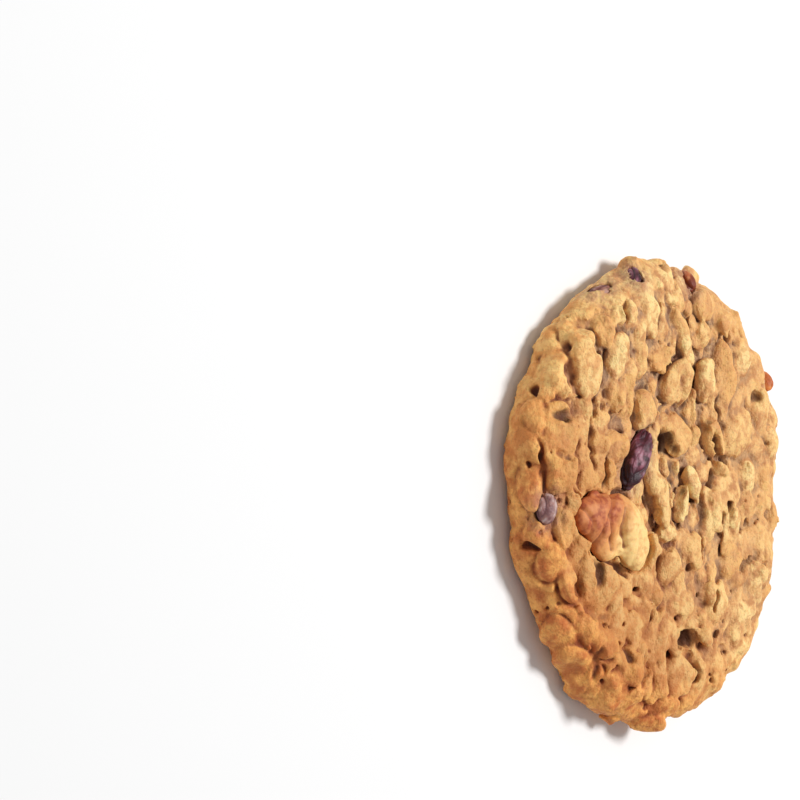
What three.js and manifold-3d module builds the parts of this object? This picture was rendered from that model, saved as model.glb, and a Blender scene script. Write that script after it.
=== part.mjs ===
// An oatmeal cranberry cookie, lying on its flat underside with its lumpy face up.
// All sizes are in millimetres. The origin is the middle of the underside, +Z is up, and +Y runs
// along the longer diameter. The dough is one solid with its oat flakes baked in; each dried
// cranberry and the walnut piece is a solid of its own, seated in a pocket of the dough.
import * as THREE from 'three';
import { mergeVertices } from 'three/addons/utils/BufferGeometryUtils.js';
import Module from 'manifold-3d';

const wasm = await Module();
wasm.setup();

// ---------------------------------------------------------------- driving sizes

// Radii of the outline at its widest height, every 22.5 degrees round from +X.
const OUTLINE_RADII = [
  32.5, 36.0, 36.3, 38.2, 38.3, 35.9, 34.8, 34.1,
  33.1, 32.6, 33.4, 37.0, 37.5, 37.4, 36.7, 34.6,
];
const MEAN_RADIUS = 36;
const BOX_MIDDLE = [0, -0.2]; // the crags and bulges put the middle of the box this far off the face's

// The section from the middle of the face out to the edge of the underside.
const SHOULDER_HEIGHT = 9.3;
const DISH = 0.6; // how far the middle of the face lies below the shoulder
const RIM_WIDTH = 7; // from the shoulder out to the waist
const WAIST_HEIGHT = 3.5;
const UNDERCUT = 4; // from the waist back in to the underside
const RIM_SHARE = 1 - RIM_WIDTH / MEAN_RADIUS;
const FACE_STEPS = 5;
const SHOULDER_STEPS = 5;
const UNDERCUT_STEPS = 3;
const FINE_STEPS = [40, 30, 20]; // of face, shoulder and undercut, to measure the way along
const CORE_SEGMENTS = 60;

// Broad swells of the face, and bulges round the rim, that the dough keeps from spreading in the oven.
const SWELL_HEIGHTS = [0.24, 0.16]; // of two sets of swells that lie across each other
const SWELL_LENGTHS = [5.5, 7.2, 4.4];
const SWELL_PHASES = [0.6, -0.4];
const SWELL_SLANT = 1.4;
const BULGE_DEPTHS = [0.33, 0.22];
const BULGE_COUNTS = [11, 17]; // two rings of bulges that lie across each other
const BULGE_SLANTS = [0.5, -0.4]; // radians round the rim for each millimetre of height

// A rolled oat flake under its film of dough: a flattened lens, blunt at the edge.
const FLAKE_SIDES = 8;
const FLAKE_HALF_THICKNESS = 1.7;
// The profile's points are shares of the flake's half length and half thickness.
const FLAKE_PROFILE = [[0, -0.6], [1, 0], [0.72, 0.78], [0, 1]];
const FLAKE_RISE = 1.15; // how far a flake on the face stands out of the dough
const RIM_FLAKE_RISE = 0.45;
const SINKING = [23, 32]; // the distances from the middle between which flakes sink to the rim's rise
const FLAKE_TILT = 0.3; // the most that a flake leans, in radians

// Places are [u, v]: the way along the surface from the middle of the face, towards +X and +Y,
// so that one map covers the face and the rim. Each flake: u, v, length, width, turn in degrees.
const LARGE_FLAKES = [
  [-21.2, 20.5, 10.2, 6.8, 95], [-13.3, 21.7, 8.7, 6.0, 85], [-4.9, 29.1, 10.6, 4.4, 95],
  [10.1, 29.4, 6.4, 5.4, 20], [3.6, 25.3, 8.0, 3.6, -42], [5.0, 21.9, 6.8, 3.4, -48],
  [14.8, 19.6, 10.5, 5.0, 97], [9.9, 18.2, 8.5, 4.8, 88], [19.6, 21.4, 6.0, 4.8, 60],
  [3.0, 16.7, 9.0, 7.6, 80], [-5.6, 13.5, 7.4, 6.6, 60], [2.5, 9.4, 9.0, 7.4, 100],
  [11.9, 9.3, 8.6, 4.2, -63], [18.3, 9.7, 9.6, 7.0, 30], [25.4, 13.2, 9.0, 5.2, 85],
  [17.7, 0.3, 9.2, 7.8, 60], [6.6, 1.8, 7.0, 4.0, -55], [23.4, 3.2, 6.4, 4.6, 85],
  [-2.3, 0.8, 13.6, 4.6, 97], [4.5, -1.8, 7.6, 2.8, 92], [-28.7, 11.0, 9.4, 6.6, 95],
  [-28.9, 3.6, 7.6, 6.0, 85], [-36.0, 1.6, 10.0, 4.4, 90], [-33.4, 13.4, 5.8, 4.2, 95],
  [-14.6, 7.8, 6.4, 5.4, 0], [-28.4, -5.8, 8.0, 4.0, 85], [-31.5, -12.2, 7.0, 5.6, 80],
  [-27.0, -15.3, 8.8, 4.4, 105], [-19.4, -15.6, 9.8, 8.0, -60], [0.7, -11.6, 6.6, 5.0, 90],
  [-26.8, -25.4, 7.0, 5.4, 130], [-22.0, -30.3, 8.4, 6.0, 125], [-16.3, -24.6, 7.2, 5.2, 120],
  [-9.5, -26.9, 6.6, 5.8, 100], [3.1, -28.6, 7.6, 6.6, 80], [0.5, -34.5, 7.0, 4.4, 20],
];
// Crags at the edge: u, v, length, width, turn, and how far each stands out.
const CRAGS = [
  [-0.8, -37.6, 6.2, 4.6, 10, 1.7], [-8.2, -38.6, 2.4, 1.8, 75, 1.7], [-12.6, -37.6, 4.6, 3.6, 160, 0.5],
  [-16.8, -36.2, 5.8, 4.6, 140, 0.7], [-4.0, 38.2, 4.0, 3.0, 20, 0.3], [3.2, 38.2, 5.0, 3.4, 175, 0.8],
  [11.6, 35.9, 5.8, 4.2, 155, 1.2],
];
// The rest fill what is left of the face and rim, largest first: length and number of tries.
const FILL_LENGTHS = [[8.6, 14], [7.4, 250], [6.2, 700], [5.0, 300]];
const FILL_REACH = 36;
const FILL_SPACING = 0.72; // least distance between two flakes, as a share of their mean length
const FILL_WIDTHS = [0.62, 0.92]; // shares of the length
const FILL_TURNS = [60, 120]; // degrees
const FILL_RISES = [0.6, 1.1]; // shares of a large flake's rise
const FILL_SEED = 1831;

// Holes and deep creases that show dark: u, v, length, width, turn, depth.
const HOLE_SIDES = 7;
const HOLE_RINGS = 4;
const HOLES = [
  [-1.2, 7.6, 4.6, 2.0, 100, 3.2], [9.0, 13.4, 5.4, 3.6, 70, 1.8], [15.2, 5.2, 3.4, 2.0, 100, 2.4],
  [-32.4, 18.0, 2.8, 1.8, 60, 2.2], [14.6, 24.9, 3.0, 2.2, 80, 2.4], [-7.3, -1.9, 3.4, 2.0, 110, 2.6],
  [-3.9, -7.2, 3.2, 2.6, 80, 3.0], [3.4, -22.9, 5.0, 2.6, 5, 3.2], [10.2, -17.4, 4.0, 1.9, 80, 2.6],
  [-2.2, -17.0, 4.6, 3.2, 60, 1.6], [7.2, -28.8, 2.6, 1.8, 60, 2.2], [-35.7, -9.4, 4.4, 1.5, 5, 1.8],
  [-11.7, -25.4, 2.8, 1.8, 70, 2.2], [22.5, 16.2, 2.2, 1.8, 60, 2.0], [-13.2, -13.2, 5.6, 1.7, -35, 2.4],
];

// Dried cranberries: flattened, with long wrinkles. Name, u, v, length, width, thickness, turn, rise.
const CRANBERRY_SIDES = 10;
const CRANBERRY_RINGS = 6;
const WRINKLE_COUNT = 5;
const WRINKLE_DEPTH = 0.09; // as a share of the berry's own radius
const CRANBERRIES = [
  ['cranberry_middle', -7.7, 5.7, 11.4, 5.0, 4.6, 61, 1.8],
  ['cranberry_top', -5.8, 34.7, 4.8, 2.8, 2.8, 65, 0.7],
  ['cranberry_upper_left', -13.8, 34.9, 5.8, 2.8, 2.8, 19, 0.6],
  ['cranberry_upper_right', 7.2, 33.3, 4.2, 2.6, 2.8, 90, 0.7],
  ['cranberry_left', -32.5, -2.8, 5.0, 3.8, 3.2, 85, 0.6],
  ['cranberry_edge', 30.4, 19.3, 4.0, 2.6, 3.4, 85, 1.6],
];

// The walnut piece is four lobes: u, v, length, width, thickness, turn, rise.
const WALNUT_LOBES = [
  [-20.4, -3.9, 10.0, 7.8, 5.0, 10, 2.2], [-10.6, -7.4, 13.4, 8.0, 5.2, -65, 2.3],
  [-17.6, -9.0, 7.0, 5.8, 4.4, -30, 1.4], [-12.5, -1.9, 6.0, 5.0, 4.4, -30, 1.9],
];
const LOBE_SIDES = 12;
const LOBE_RINGS = 7;

// The baking tray that keeps the underside flat.
const TRAY_SIZE = 100;
const TRAY_DEPTH = 5;

const POCKET_GAP = 0.3; // between a berry or nut and the dough round it

const DOUGH = new THREE.MeshStandardMaterial({ color: 0xc9924f, roughness: 0.8, metalness: 0 });
const BERRY = new THREE.MeshStandardMaterial({ color: 0x4a1a2c, roughness: 0.4, metalness: 0 });
const NUT = new THREE.MeshStandardMaterial({ color: 0xb36a35, roughness: 0.6, metalness: 0 });

// ---------------------------------------------------------------- the surface of the plain dough

// The outline's radius in a direction, by a smooth closed curve through the measured radii.
function outlineRadius(angle) {
  const count = OUTLINE_RADII.length;
  const turns = angle / (2 * Math.PI);
  const place = (turns - Math.floor(turns)) * count;
  const first = Math.floor(place);
  const t = place - first;
  const [a, b, c, d] = [-1, 0, 1, 2].map((step) => OUTLINE_RADII[(first + step + count) % count]);
  return b + 0.5 * t * (c - a + t * (2 * a - 5 * b + 4 * c - d + t * (3 * (b - c) + d - a)));
}

// The section's points [radius, height] from the middle of the face to the edge of the underside.
function sectionPoints(faceSteps, shoulderSteps, undercutSteps) {
  const points = [];
  const face = MEAN_RADIUS - RIM_WIDTH;
  for (let i = 0; i < faceSteps; i++) {
    const share = i / faceSteps;
    points.push([face * share, SHOULDER_HEIGHT - DISH * (1 - share ** 2)]);
  }
  for (let i = 0; i <= shoulderSteps; i++) {
    const angle = (Math.PI / 2) * (1 - i / shoulderSteps);
    const rise = SHOULDER_HEIGHT - WAIST_HEIGHT;
    points.push([face + RIM_WIDTH * Math.cos(angle), WAIST_HEIGHT + rise * Math.sin(angle)]);
  }
  for (let i = 1; i <= undercutSteps; i++) {
    const angle = (Math.PI / 2) * (i / undercutSteps);
    const radius = MEAN_RADIUS - UNDERCUT + UNDERCUT * Math.cos(angle);
    points.push([radius, WAIST_HEIGHT * (1 - Math.sin(angle))]);
  }
  return points;
}

// The broad swells: how far the dough rises or falls at a place seen from above.
function swell(x, y) {
  const [alongX, alongY, slanted] = SWELL_LENGTHS;
  const first = Math.sin(x / alongX + SWELL_PHASES[0]) * Math.cos(y / alongY + SWELL_PHASES[1]);
  const second = Math.sin((x + SWELL_SLANT * y) / slanted);
  return SWELL_HEIGHTS[0] * first + SWELL_HEIGHTS[1] * second;
}

// The rim's bulges: how far the rim stands out or in, in a direction and at a height.
function bulge(angle, height) {
  const waves = BULGE_COUNTS.map((count, i) => Math.sin(count * angle + BULGE_SLANTS[i] * height));
  return BULGE_DEPTHS[0] * waves[0] + BULGE_DEPTHS[1] * waves[1];
}

// Moves a point of the round, even dough to where it lies on the real one.
function shaped(x, y, z) {
  const angle = Math.atan2(y, x);
  const radius = Math.hypot(x, y);
  const nearRim = Math.max(0, radius / MEAN_RADIUS - RIM_SHARE) / (1 - RIM_SHARE);
  const nearTop = Math.min(z / SHOULDER_HEIGHT, 1);
  const out = radius * (outlineRadius(angle) / MEAN_RADIUS) + bulge(angle, z) * nearRim;
  return new THREE.Vector3(out * Math.cos(angle), out * Math.sin(angle), z + swell(x, y) * nearTop);
}

// The section again, finely, with the way along it, to look up places by.
const fineSection = sectionPoints(...FINE_STEPS);
const wayAlong = [0];
for (let i = 1; i < fineSection.length; i++) {
  const [before, here] = [fineSection[i - 1], fineSection[i]];
  wayAlong.push(wayAlong[i - 1] + Math.hypot(here[0] - before[0], here[1] - before[1]));
}

function sectionAt(way) {
  let i = 1;
  while (i < wayAlong.length - 1 && wayAlong[i] < way) i++;
  const share = (way - wayAlong[i - 1]) / (wayAlong[i] - wayAlong[i - 1]);
  const [before, here] = [fineSection[i - 1], fineSection[i]];
  const along = [here[0] - before[0], here[1] - before[1]];
  return { radius: before[0] + share * along[0], height: before[1] + share * along[1], along };
}

// The frame of a place [u, v]: X along +X of the map, Z out of the dough.
function frameAt(u, v) {
  const angle = Math.atan2(v, u);
  const { radius, height, along } = sectionAt(Math.hypot(u, v));
  const point = shaped(radius * Math.cos(angle), radius * Math.sin(angle), height);
  const outward = new THREE.Vector3(Math.cos(angle), Math.sin(angle), 0);
  const out = outward.clone().multiplyScalar(-along[1]);
  out.z = along[0];
  out.normalize();
  const round = new THREE.Vector3(0, 0, 1).cross(outward);
  const down = round.clone().cross(out);
  return { point, out, axes: new THREE.Matrix4().makeBasis(down, round, out), angle };
}

// Puts a piece modelled at the origin, Z up, on the dough at [u, v], turned in the map's plane.
function seat(geometry, u, v, turnDegrees, height, tilt = [0, 0]) {
  const { point, out, axes, angle } = frameAt(u, v);
  const turn = THREE.MathUtils.degToRad(turnDegrees) - angle;
  geometry.rotateZ(turn);
  geometry.rotateX(tilt[0]);
  geometry.rotateY(tilt[1]);
  geometry.applyMatrix4(axes);
  const place = point.addScaledVector(out, height);
  return geometry.translate(place.x, place.y, place.z);
}

// ---------------------------------------------------------------- solids

// A geometry as a solid: shared corners merged, faces with no area left out.
function toSolid(geometry) {
  const bare = geometry.clone();
  bare.deleteAttribute('normal');
  bare.deleteAttribute('uv');
  const merged = mergeVertices(bare);
  const corners = merged.index.array;
  const faces = [];
  for (let i = 0; i < corners.length; i += 3) {
    const [a, b, c] = [corners[i], corners[i + 1], corners[i + 2]];
    if (a !== b && b !== c && c !== a) faces.push(a, b, c);
  }
  return new wasm.Manifold(new wasm.Mesh({
    numProp: 3,
    vertProperties: merged.attributes.position.array,
    triVerts: new Uint32Array(faces),
  }));
}

// A solid as a named mesh; only its largest piece is kept, so no scrap lies loose.
function toMesh(solid, name, material) {
  const pieces = solid.decompose();
  const largest = pieces.reduce((best, piece) => (piece.volume() > best.volume() ? piece : best));
  const { vertProperties, triVerts } = largest.getMesh();
  const geometry = new THREE.BufferGeometry();
  geometry.setAttribute('position', new THREE.BufferAttribute(vertProperties, 3));
  geometry.setIndex(new THREE.BufferAttribute(triVerts, 1));
  geometry.computeVertexNormals();
  const mesh = new THREE.Mesh(geometry, material);
  mesh.name = name;
  return mesh;
}

function union(solids) {
  return wasm.Manifold.union(solids);
}

// ---------------------------------------------------------------- the pieces

function plainDough() {
  const section = sectionPoints(FACE_STEPS, SHOULDER_STEPS, UNDERCUT_STEPS).reverse();
  const points = [[0, 0], ...section].map(([radius, height]) => new THREE.Vector2(radius, height));
  const geometry = new THREE.LatheGeometry(points, CORE_SEGMENTS);
  geometry.rotateX(Math.PI / 2);
  const places = geometry.attributes.position;
  for (let i = 0; i < places.count; i++) {
    const moved = shaped(places.getX(i), places.getY(i), places.getZ(i));
    places.setXYZ(i, moved.x, moved.y, moved.z);
  }
  return toSolid(geometry);
}

// A plain congruential row of random numbers from 0 to 1.
const ROW_FACTOR = 1664525;
const ROW_STEP = 1013904223;
let seed = FILL_SEED;
function random() {
  seed = (Math.imul(seed, ROW_FACTOR) + ROW_STEP) >>> 0;
  return seed / 2 ** 32;
}

const between = ([least, most], share) => least + (most - least) * share;

function riseAt(u, v) {
  const share = (Math.hypot(u, v) - SINKING[0]) / (SINKING[1] - SINKING[0]);
  return between([FLAKE_RISE, RIM_FLAKE_RISE], THREE.MathUtils.clamp(share, 0, 1));
}

// Every flake: the large ones and crags where they show, then the seeded rest between them.
function flakeList() {
  const flakes = [
    ...LARGE_FLAKES.map(([u, v, length, width, turn]) => (
      { u, v, length, width, turn, rise: riseAt(u, v) })),
    ...CRAGS.map(([u, v, length, width, turn, rise]) => ({ u, v, length, width, turn, rise })),
  ];
  const taken = [
    ...CRANBERRIES.map(([, u, v, length]) => ({ u, v, length })),
    ...WALNUT_LOBES.map(([u, v, length]) => ({ u, v, length })),
  ];
  for (const [length, tries] of FILL_LENGTHS) {
    for (let i = 0; i < tries; i++) {
      const reach = FILL_REACH * Math.sqrt(random());
      const angle = 2 * Math.PI * random();
      const [u, v] = [reach * Math.cos(angle), reach * Math.sin(angle)];
      const room = (other) => FILL_SPACING * (other.length + length) / 2;
      const clear = (other) => Math.hypot(other.u - u, other.v - v) > room(other);
      if (![...flakes, ...taken].every(clear)) continue;
      const width = length * between(FILL_WIDTHS, random());
      const turn = between(FILL_TURNS, random());
      const rise = riseAt(u, v) * between(FILL_RISES, random());
      flakes.push({ u, v, length, width, turn, rise });
    }
  }
  return flakes;
}

function flakeSolid({ u, v, length, width, turn, rise }) {
  const points = FLAKE_PROFILE.map(([reach, height]) => new THREE.Vector2(reach, height));
  const geometry = new THREE.LatheGeometry(points, FLAKE_SIDES);
  geometry.rotateX(Math.PI / 2);
  geometry.scale(length / 2, width / 2, FLAKE_HALF_THICKNESS);
  const tilt = [FLAKE_TILT * (2 * random() - 1), FLAKE_TILT * (2 * random() - 1)];
  return toSolid(seat(geometry, u, v, turn, rise - FLAKE_HALF_THICKNESS, tilt));
}

// A hole is a small round-ended scoop, centred on the surface of the flakes.
function holeSolid([u, v, length, width, turn, depth]) {
  const geometry = new THREE.SphereGeometry(1, HOLE_SIDES, HOLE_RINGS);
  geometry.rotateX(Math.PI / 2);
  geometry.scale(length / 2, width / 2, depth);
  return toSolid(seat(geometry, u, v, turn, FLAKE_RISE / 2));
}

// A dried cranberry, or its pocket when grown by the gap.
function cranberrySolid([, u, v, length, width, thickness, turn, rise], grow = 0) {
  const geometry = new THREE.SphereGeometry(1, CRANBERRY_SIDES, CRANBERRY_RINGS);
  geometry.rotateZ(Math.PI / 2);
  const places = geometry.attributes.position;
  for (let i = 0; i < places.count; i++) {
    const [x, y, z] = [places.getX(i), places.getY(i), places.getZ(i)];
    const around = Math.atan2(z, y);
    const fold = 1 - WRINKLE_DEPTH * (0.5 + 0.5 * Math.cos(WRINKLE_COUNT * around + 2 * x));
    places.setXYZ(i, x, y * fold, z * fold);
  }
  geometry.scale(length / 2 + grow, width / 2 + grow, thickness / 2 + grow);
  return toSolid(seat(geometry, u, v, turn, rise - thickness / 2));
}

function walnutSolid(grow = 0) {
  return union(WALNUT_LOBES.map(([u, v, length, width, thickness, turn, rise]) => {
    const geometry = new THREE.SphereGeometry(1, LOBE_SIDES, LOBE_RINGS);
    geometry.rotateX(Math.PI / 2);
    geometry.scale(length / 2 + grow, width / 2 + grow, thickness / 2 + grow);
    return toSolid(seat(geometry, u, v, turn, rise - thickness / 2));
  }));
}

function cookieSolid() {
  const risen = union([plainDough(), ...flakeList().map(flakeSolid)]);
  const traySlab = new THREE.BoxGeometry(TRAY_SIZE, TRAY_SIZE, TRAY_DEPTH).translate(0, 0, -TRAY_DEPTH / 2);
  const pockets = [
    ...CRANBERRIES.map((berry) => cranberrySolid(berry, POCKET_GAP)),
    walnutSolid(POCKET_GAP),
  ];
  return risen.subtract(union([toSolid(traySlab), ...HOLES.map(holeSolid), ...pockets]));
}

// ---------------------------------------------------------------- the cookie

const cookie = new THREE.Group();
cookie.add(toMesh(cookieSolid(), 'cookie', DOUGH));
for (const berry of CRANBERRIES) cookie.add(toMesh(cranberrySolid(berry), berry[0], BERRY));
cookie.add(toMesh(walnutSolid(), 'walnut', NUT));
cookie.position.set(-BOX_MIDDLE[0], -BOX_MIDDLE[1], 0);

export default cookie;
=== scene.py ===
# %% [markdown]
# # An oatmeal cranberry cookie
# A home-style cookie, 78 mm across, lies on its flat underside with its lumpy face up. The dough,
# its oat flakes and its crags are one baked body; six dried cranberries and a piece of walnut sit
# in it. We load the CAD parts as a fixed frame, model each visible piece at its true size around
# them, paint it with nodes, and end with the floor, the light and the camera.

# %% Load the frame
import math

import bmesh
import bpy
import numpy as np
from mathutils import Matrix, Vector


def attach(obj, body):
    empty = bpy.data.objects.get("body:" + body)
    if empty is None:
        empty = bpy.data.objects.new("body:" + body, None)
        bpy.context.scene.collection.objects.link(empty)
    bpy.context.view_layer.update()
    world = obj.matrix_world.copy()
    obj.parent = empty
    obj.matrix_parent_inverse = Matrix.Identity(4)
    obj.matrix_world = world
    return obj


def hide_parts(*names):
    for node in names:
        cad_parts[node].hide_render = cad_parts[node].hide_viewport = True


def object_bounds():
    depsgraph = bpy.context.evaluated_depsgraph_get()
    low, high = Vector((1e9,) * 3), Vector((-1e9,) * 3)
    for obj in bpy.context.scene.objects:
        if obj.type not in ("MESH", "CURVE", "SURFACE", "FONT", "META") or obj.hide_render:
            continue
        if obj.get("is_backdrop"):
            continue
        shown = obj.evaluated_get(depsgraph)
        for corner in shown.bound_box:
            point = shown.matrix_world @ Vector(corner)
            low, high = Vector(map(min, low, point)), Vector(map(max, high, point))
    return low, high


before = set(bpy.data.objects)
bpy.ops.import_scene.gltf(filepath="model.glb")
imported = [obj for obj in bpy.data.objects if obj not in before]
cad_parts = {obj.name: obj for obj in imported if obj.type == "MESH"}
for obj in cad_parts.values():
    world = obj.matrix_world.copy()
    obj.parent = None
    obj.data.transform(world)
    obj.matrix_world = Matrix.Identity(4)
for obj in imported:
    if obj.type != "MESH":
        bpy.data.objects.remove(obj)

import openvdb
from mathutils import Matrix

cad_box = [list(map(float, corner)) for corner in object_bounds()]
MM = 0.001
print("CAD box in mm", [[round(value / MM, 1) for value in corner] for corner in cad_box])

# %% [markdown]
# ## The plain dough
# A ball of dough spreads in the oven into a disc: flat below, with a rounded skirt that hangs over
# its own foot, a shoulder, and a face that sinks a little in the middle. We could lathe that in
# Blender and push its vertices about, but cracks and flakes that overlap would tangle them. So the
# cookie is modelled as a distance field instead: a block of numbers that says, for every point in
# space, how far it is from the surface. Fields add, carve and blend without ever tangling.
# The sizes here are the CAD's own, in millimetres.

# %% Sizes of the plain dough
OUTLINE_RADII = np.array([  # in sixteen directions, from +X round by +Y
    32.5, 36.0, 36.3, 38.2, 38.3, 35.9, 34.8, 34.1,
    33.1, 32.6, 33.4, 37.0, 37.5, 37.4, 36.7, 34.6,
])
MEAN_RADIUS = 36.0
BOX_MIDDLE = np.array([0.0, -0.2, 0.0])  # the frame's origin, seen from the outline's centre
SHOULDER_HEIGHT = 9.3
DISH = 0.6  # how far the middle of the face lies below the shoulder
RIM_WIDTH = 7.0
RIM_SHARE = 1 - RIM_WIDTH / MEAN_RADIUS  # the face's share of the radius
WAIST_HEIGHT = 3.5  # where the skirt is widest
UNDERCUT = 4.0
SWELL_HEIGHTS = (0.24, 0.16)
SWELL_LENGTHS = (5.5, 7.2, 4.4)
BULGE_DEPTHS = (0.33, 0.22)
BULGE_COUNTS = (11, 17)
BULGE_SLANTS = (0.5, -0.4)
print("the outline's radii run from", OUTLINE_RADII.min(), "to", OUTLINE_RADII.max(), "mm")


# %% Outline, swells and section
def outline_radius(angle):
    """The outline's radius in a direction: a smooth closed curve through the radii."""
    place = np.mod(angle / (2 * np.pi), 1.0) * len(OUTLINE_RADII)
    first = np.floor(place).astype(int)
    t = place - first
    a, b, c, d = (OUTLINE_RADII[(first + step) % len(OUTLINE_RADII)] for step in (-1, 0, 1, 2))
    return b + 0.5 * t * (c - a + t * (2 * a - 5 * b + 4 * c - d + t * (3 * (b - c) + d - a)))


def swell(x, y):
    """The broad swells of the face."""
    along_x, along_y, slanted = SWELL_LENGTHS
    first = np.sin(x / along_x + 0.6) * np.cos(y / along_y - 0.4)
    return SWELL_HEIGHTS[0] * first + SWELL_HEIGHTS[1] * np.sin((x + 1.4 * y) / slanted)


def bulge(angle, height):
    """How far the rim stands out or in."""
    first, second = (np.sin(count * angle + slant * height)
                     for count, slant in zip(BULGE_COUNTS, BULGE_SLANTS))
    return BULGE_DEPTHS[0] * first + BULGE_DEPTHS[1] * second


def shaped(x, y, z):
    """Moves points of the round, even dough to where they lie on the real one."""
    angle = np.arctan2(y, x)
    radius = np.hypot(x, y)
    near_rim = np.maximum(0, radius / MEAN_RADIUS - RIM_SHARE) / (1 - RIM_SHARE)
    out = radius * (outline_radius(angle) / MEAN_RADIUS) + bulge(angle, z) * near_rim
    lift = swell(x, y) * np.minimum(z / SHOULDER_HEIGHT, 1)
    return np.stack([out * np.cos(angle), out * np.sin(angle), z + lift], -1)


def section_points():
    """The section, from the middle of the face round to the edge of the underside."""
    face = MEAN_RADIUS - RIM_WIDTH
    share = np.linspace(0, 1, 40, endpoint=False)
    top = np.stack([face * share, SHOULDER_HEIGHT - DISH * (1 - share ** 2)], 1)
    angle = np.linspace(np.pi / 2, 0, 31)
    rise = SHOULDER_HEIGHT - WAIST_HEIGHT
    skirt = np.stack([face + RIM_WIDTH * np.cos(angle), WAIST_HEIGHT + rise * np.sin(angle)], 1)
    angle = np.linspace(0, np.pi / 2, 21)[1:]
    foot = np.stack([MEAN_RADIUS - UNDERCUT + UNDERCUT * np.cos(angle),
                     WAIST_HEIGHT * (1 - np.sin(angle))], 1)
    return np.concatenate([top, skirt, foot])


section = section_points()
way_along = np.concatenate([[0], np.cumsum(np.hypot(*np.diff(section, axis=0).T))])
print("way from the middle of the face to the foot:", round(way_along[-1], 1), "mm")

# %% [markdown]
# ## Places on the surface
# Flakes and berries follow the face and bend down over the rim with it. We could give each one a
# point and three angles, but then every change of the dough would leave them floating. Instead a
# place is u and v, the millimetres along X and Y from the middle of the face as if the surface were
# unrolled flat. From those we work out the point and the axes of the piece that sits there.

# %% From a place to a point and axes
def frame_at(u, v):
    """The point at a place on the unrolled surface, and its axes: down the slope, round, out."""
    angle = math.atan2(v, u)
    way = math.hypot(u, v)
    i = min(max(int(np.searchsorted(way_along, way)), 1), len(section) - 1)
    share = (way - way_along[i - 1]) / (way_along[i] - way_along[i - 1])
    along = section[i] - section[i - 1]
    radius, height = section[i - 1] + share * along
    point = shaped(radius * math.cos(angle), radius * math.sin(angle), height)
    out = np.array([-along[1] * math.cos(angle), -along[1] * math.sin(angle), along[0]])
    out /= np.linalg.norm(out)
    around = np.array([-math.sin(angle), math.cos(angle), 0.0])
    down = np.cross(around, out)
    return point, np.stack([down, around, out], 1), angle


def turned(axis, angle):
    """A rotation about X, Y or Z."""
    c, s = math.cos(angle), math.sin(angle)
    i, j = [(1, 2), (2, 0), (0, 1)][axis]
    made = np.eye(3)
    made[i, i] = made[j, j] = c
    made[i, j], made[j, i] = -s, s
    return made


def seat(u, v, turn, height, tilt=(0.0, 0.0)):
    """Where a piece modelled at the origin goes: its middle and its axes."""
    point, axes, angle = frame_at(u, v)
    spin = turned(2, math.radians(turn) - angle)
    return point + axes[:, 2] * height, axes @ turned(1, tilt[1]) @ turned(0, tilt[0]) @ spin


print("the middle of the face is", round(float(frame_at(0, 0)[0][2]), 1), "mm above the tray")

# %% [markdown]
# ## The flakes
# A rolled oat is a flattened lens 5 to 11 mm across. The large ones lie where they show; a seeded
# rule fills what is left, largest first, and keeps its distance from what is already there. The
# draws come in the same order as in the CAD, so both give the same cookie.

# %% Large flakes and crags
LARGE_FLAKES = [  # u, v, length, width, and turn in degrees
    (-21.2, 20.5, 10.2, 6.8, 95), (-13.3, 21.7, 8.7, 6.0, 85), (-4.9, 29.1, 10.6, 4.4, 95),
    (10.1, 29.4, 6.4, 5.4, 20), (3.6, 25.3, 8.0, 3.6, -42), (5.0, 21.9, 6.8, 3.4, -48),
    (14.8, 19.6, 10.5, 5.0, 97), (9.9, 18.2, 8.5, 4.8, 88), (19.6, 21.4, 6.0, 4.8, 60),
    (3.0, 16.7, 9.0, 7.6, 80), (-5.6, 13.5, 7.4, 6.6, 60), (2.5, 9.4, 9.0, 7.4, 100),
    (11.9, 9.3, 8.6, 4.2, -63), (18.3, 9.7, 9.6, 7.0, 30), (25.4, 13.2, 9.0, 5.2, 85),
    (17.7, 0.3, 9.2, 7.8, 60), (6.6, 1.8, 7.0, 4.0, -55), (23.4, 3.2, 6.4, 4.6, 85),
    (-2.3, 0.8, 13.6, 4.6, 97), (4.5, -1.8, 7.6, 2.8, 92), (-28.7, 11.0, 9.4, 6.6, 95),
    (-28.9, 3.6, 7.6, 6.0, 85), (-36.0, 1.6, 10.0, 4.4, 90), (-33.4, 13.4, 5.8, 4.2, 95),
    (-14.6, 7.8, 6.4, 5.4, 0), (-28.4, -5.8, 8.0, 4.0, 85), (-31.5, -12.2, 7.0, 5.6, 80),
    (-27.0, -15.3, 8.8, 4.4, 105), (-19.4, -15.6, 9.8, 8.0, -60), (0.7, -11.6, 6.6, 5.0, 90),
    (-26.8, -25.4, 7.0, 5.4, 130), (-22.0, -30.3, 8.4, 6.0, 125), (-16.3, -24.6, 7.2, 5.2, 120),
    (-9.5, -26.9, 6.6, 5.8, 100), (3.1, -28.6, 7.6, 6.6, 80), (0.5, -34.5, 7.0, 4.4, 20),
]
CRAGS = [  # the same, and how far it stands out
    (-0.8, -37.6, 6.2, 4.6, 10, 1.7), (-8.2, -38.6, 2.4, 1.8, 75, 1.7), (-12.6, -37.6, 4.6, 3.6, 160, 0.5),
    (-16.8, -36.2, 5.8, 4.6, 140, 0.7), (-4.0, 38.2, 4.0, 3.0, 20, 0.3), (3.2, 38.2, 5.0, 3.4, 175, 0.8),
    (11.6, 35.9, 5.8, 4.2, 155, 1.2),
]
print(len(LARGE_FLAKES), "large flakes on the face and", len(CRAGS), "crags at the edge")

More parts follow.
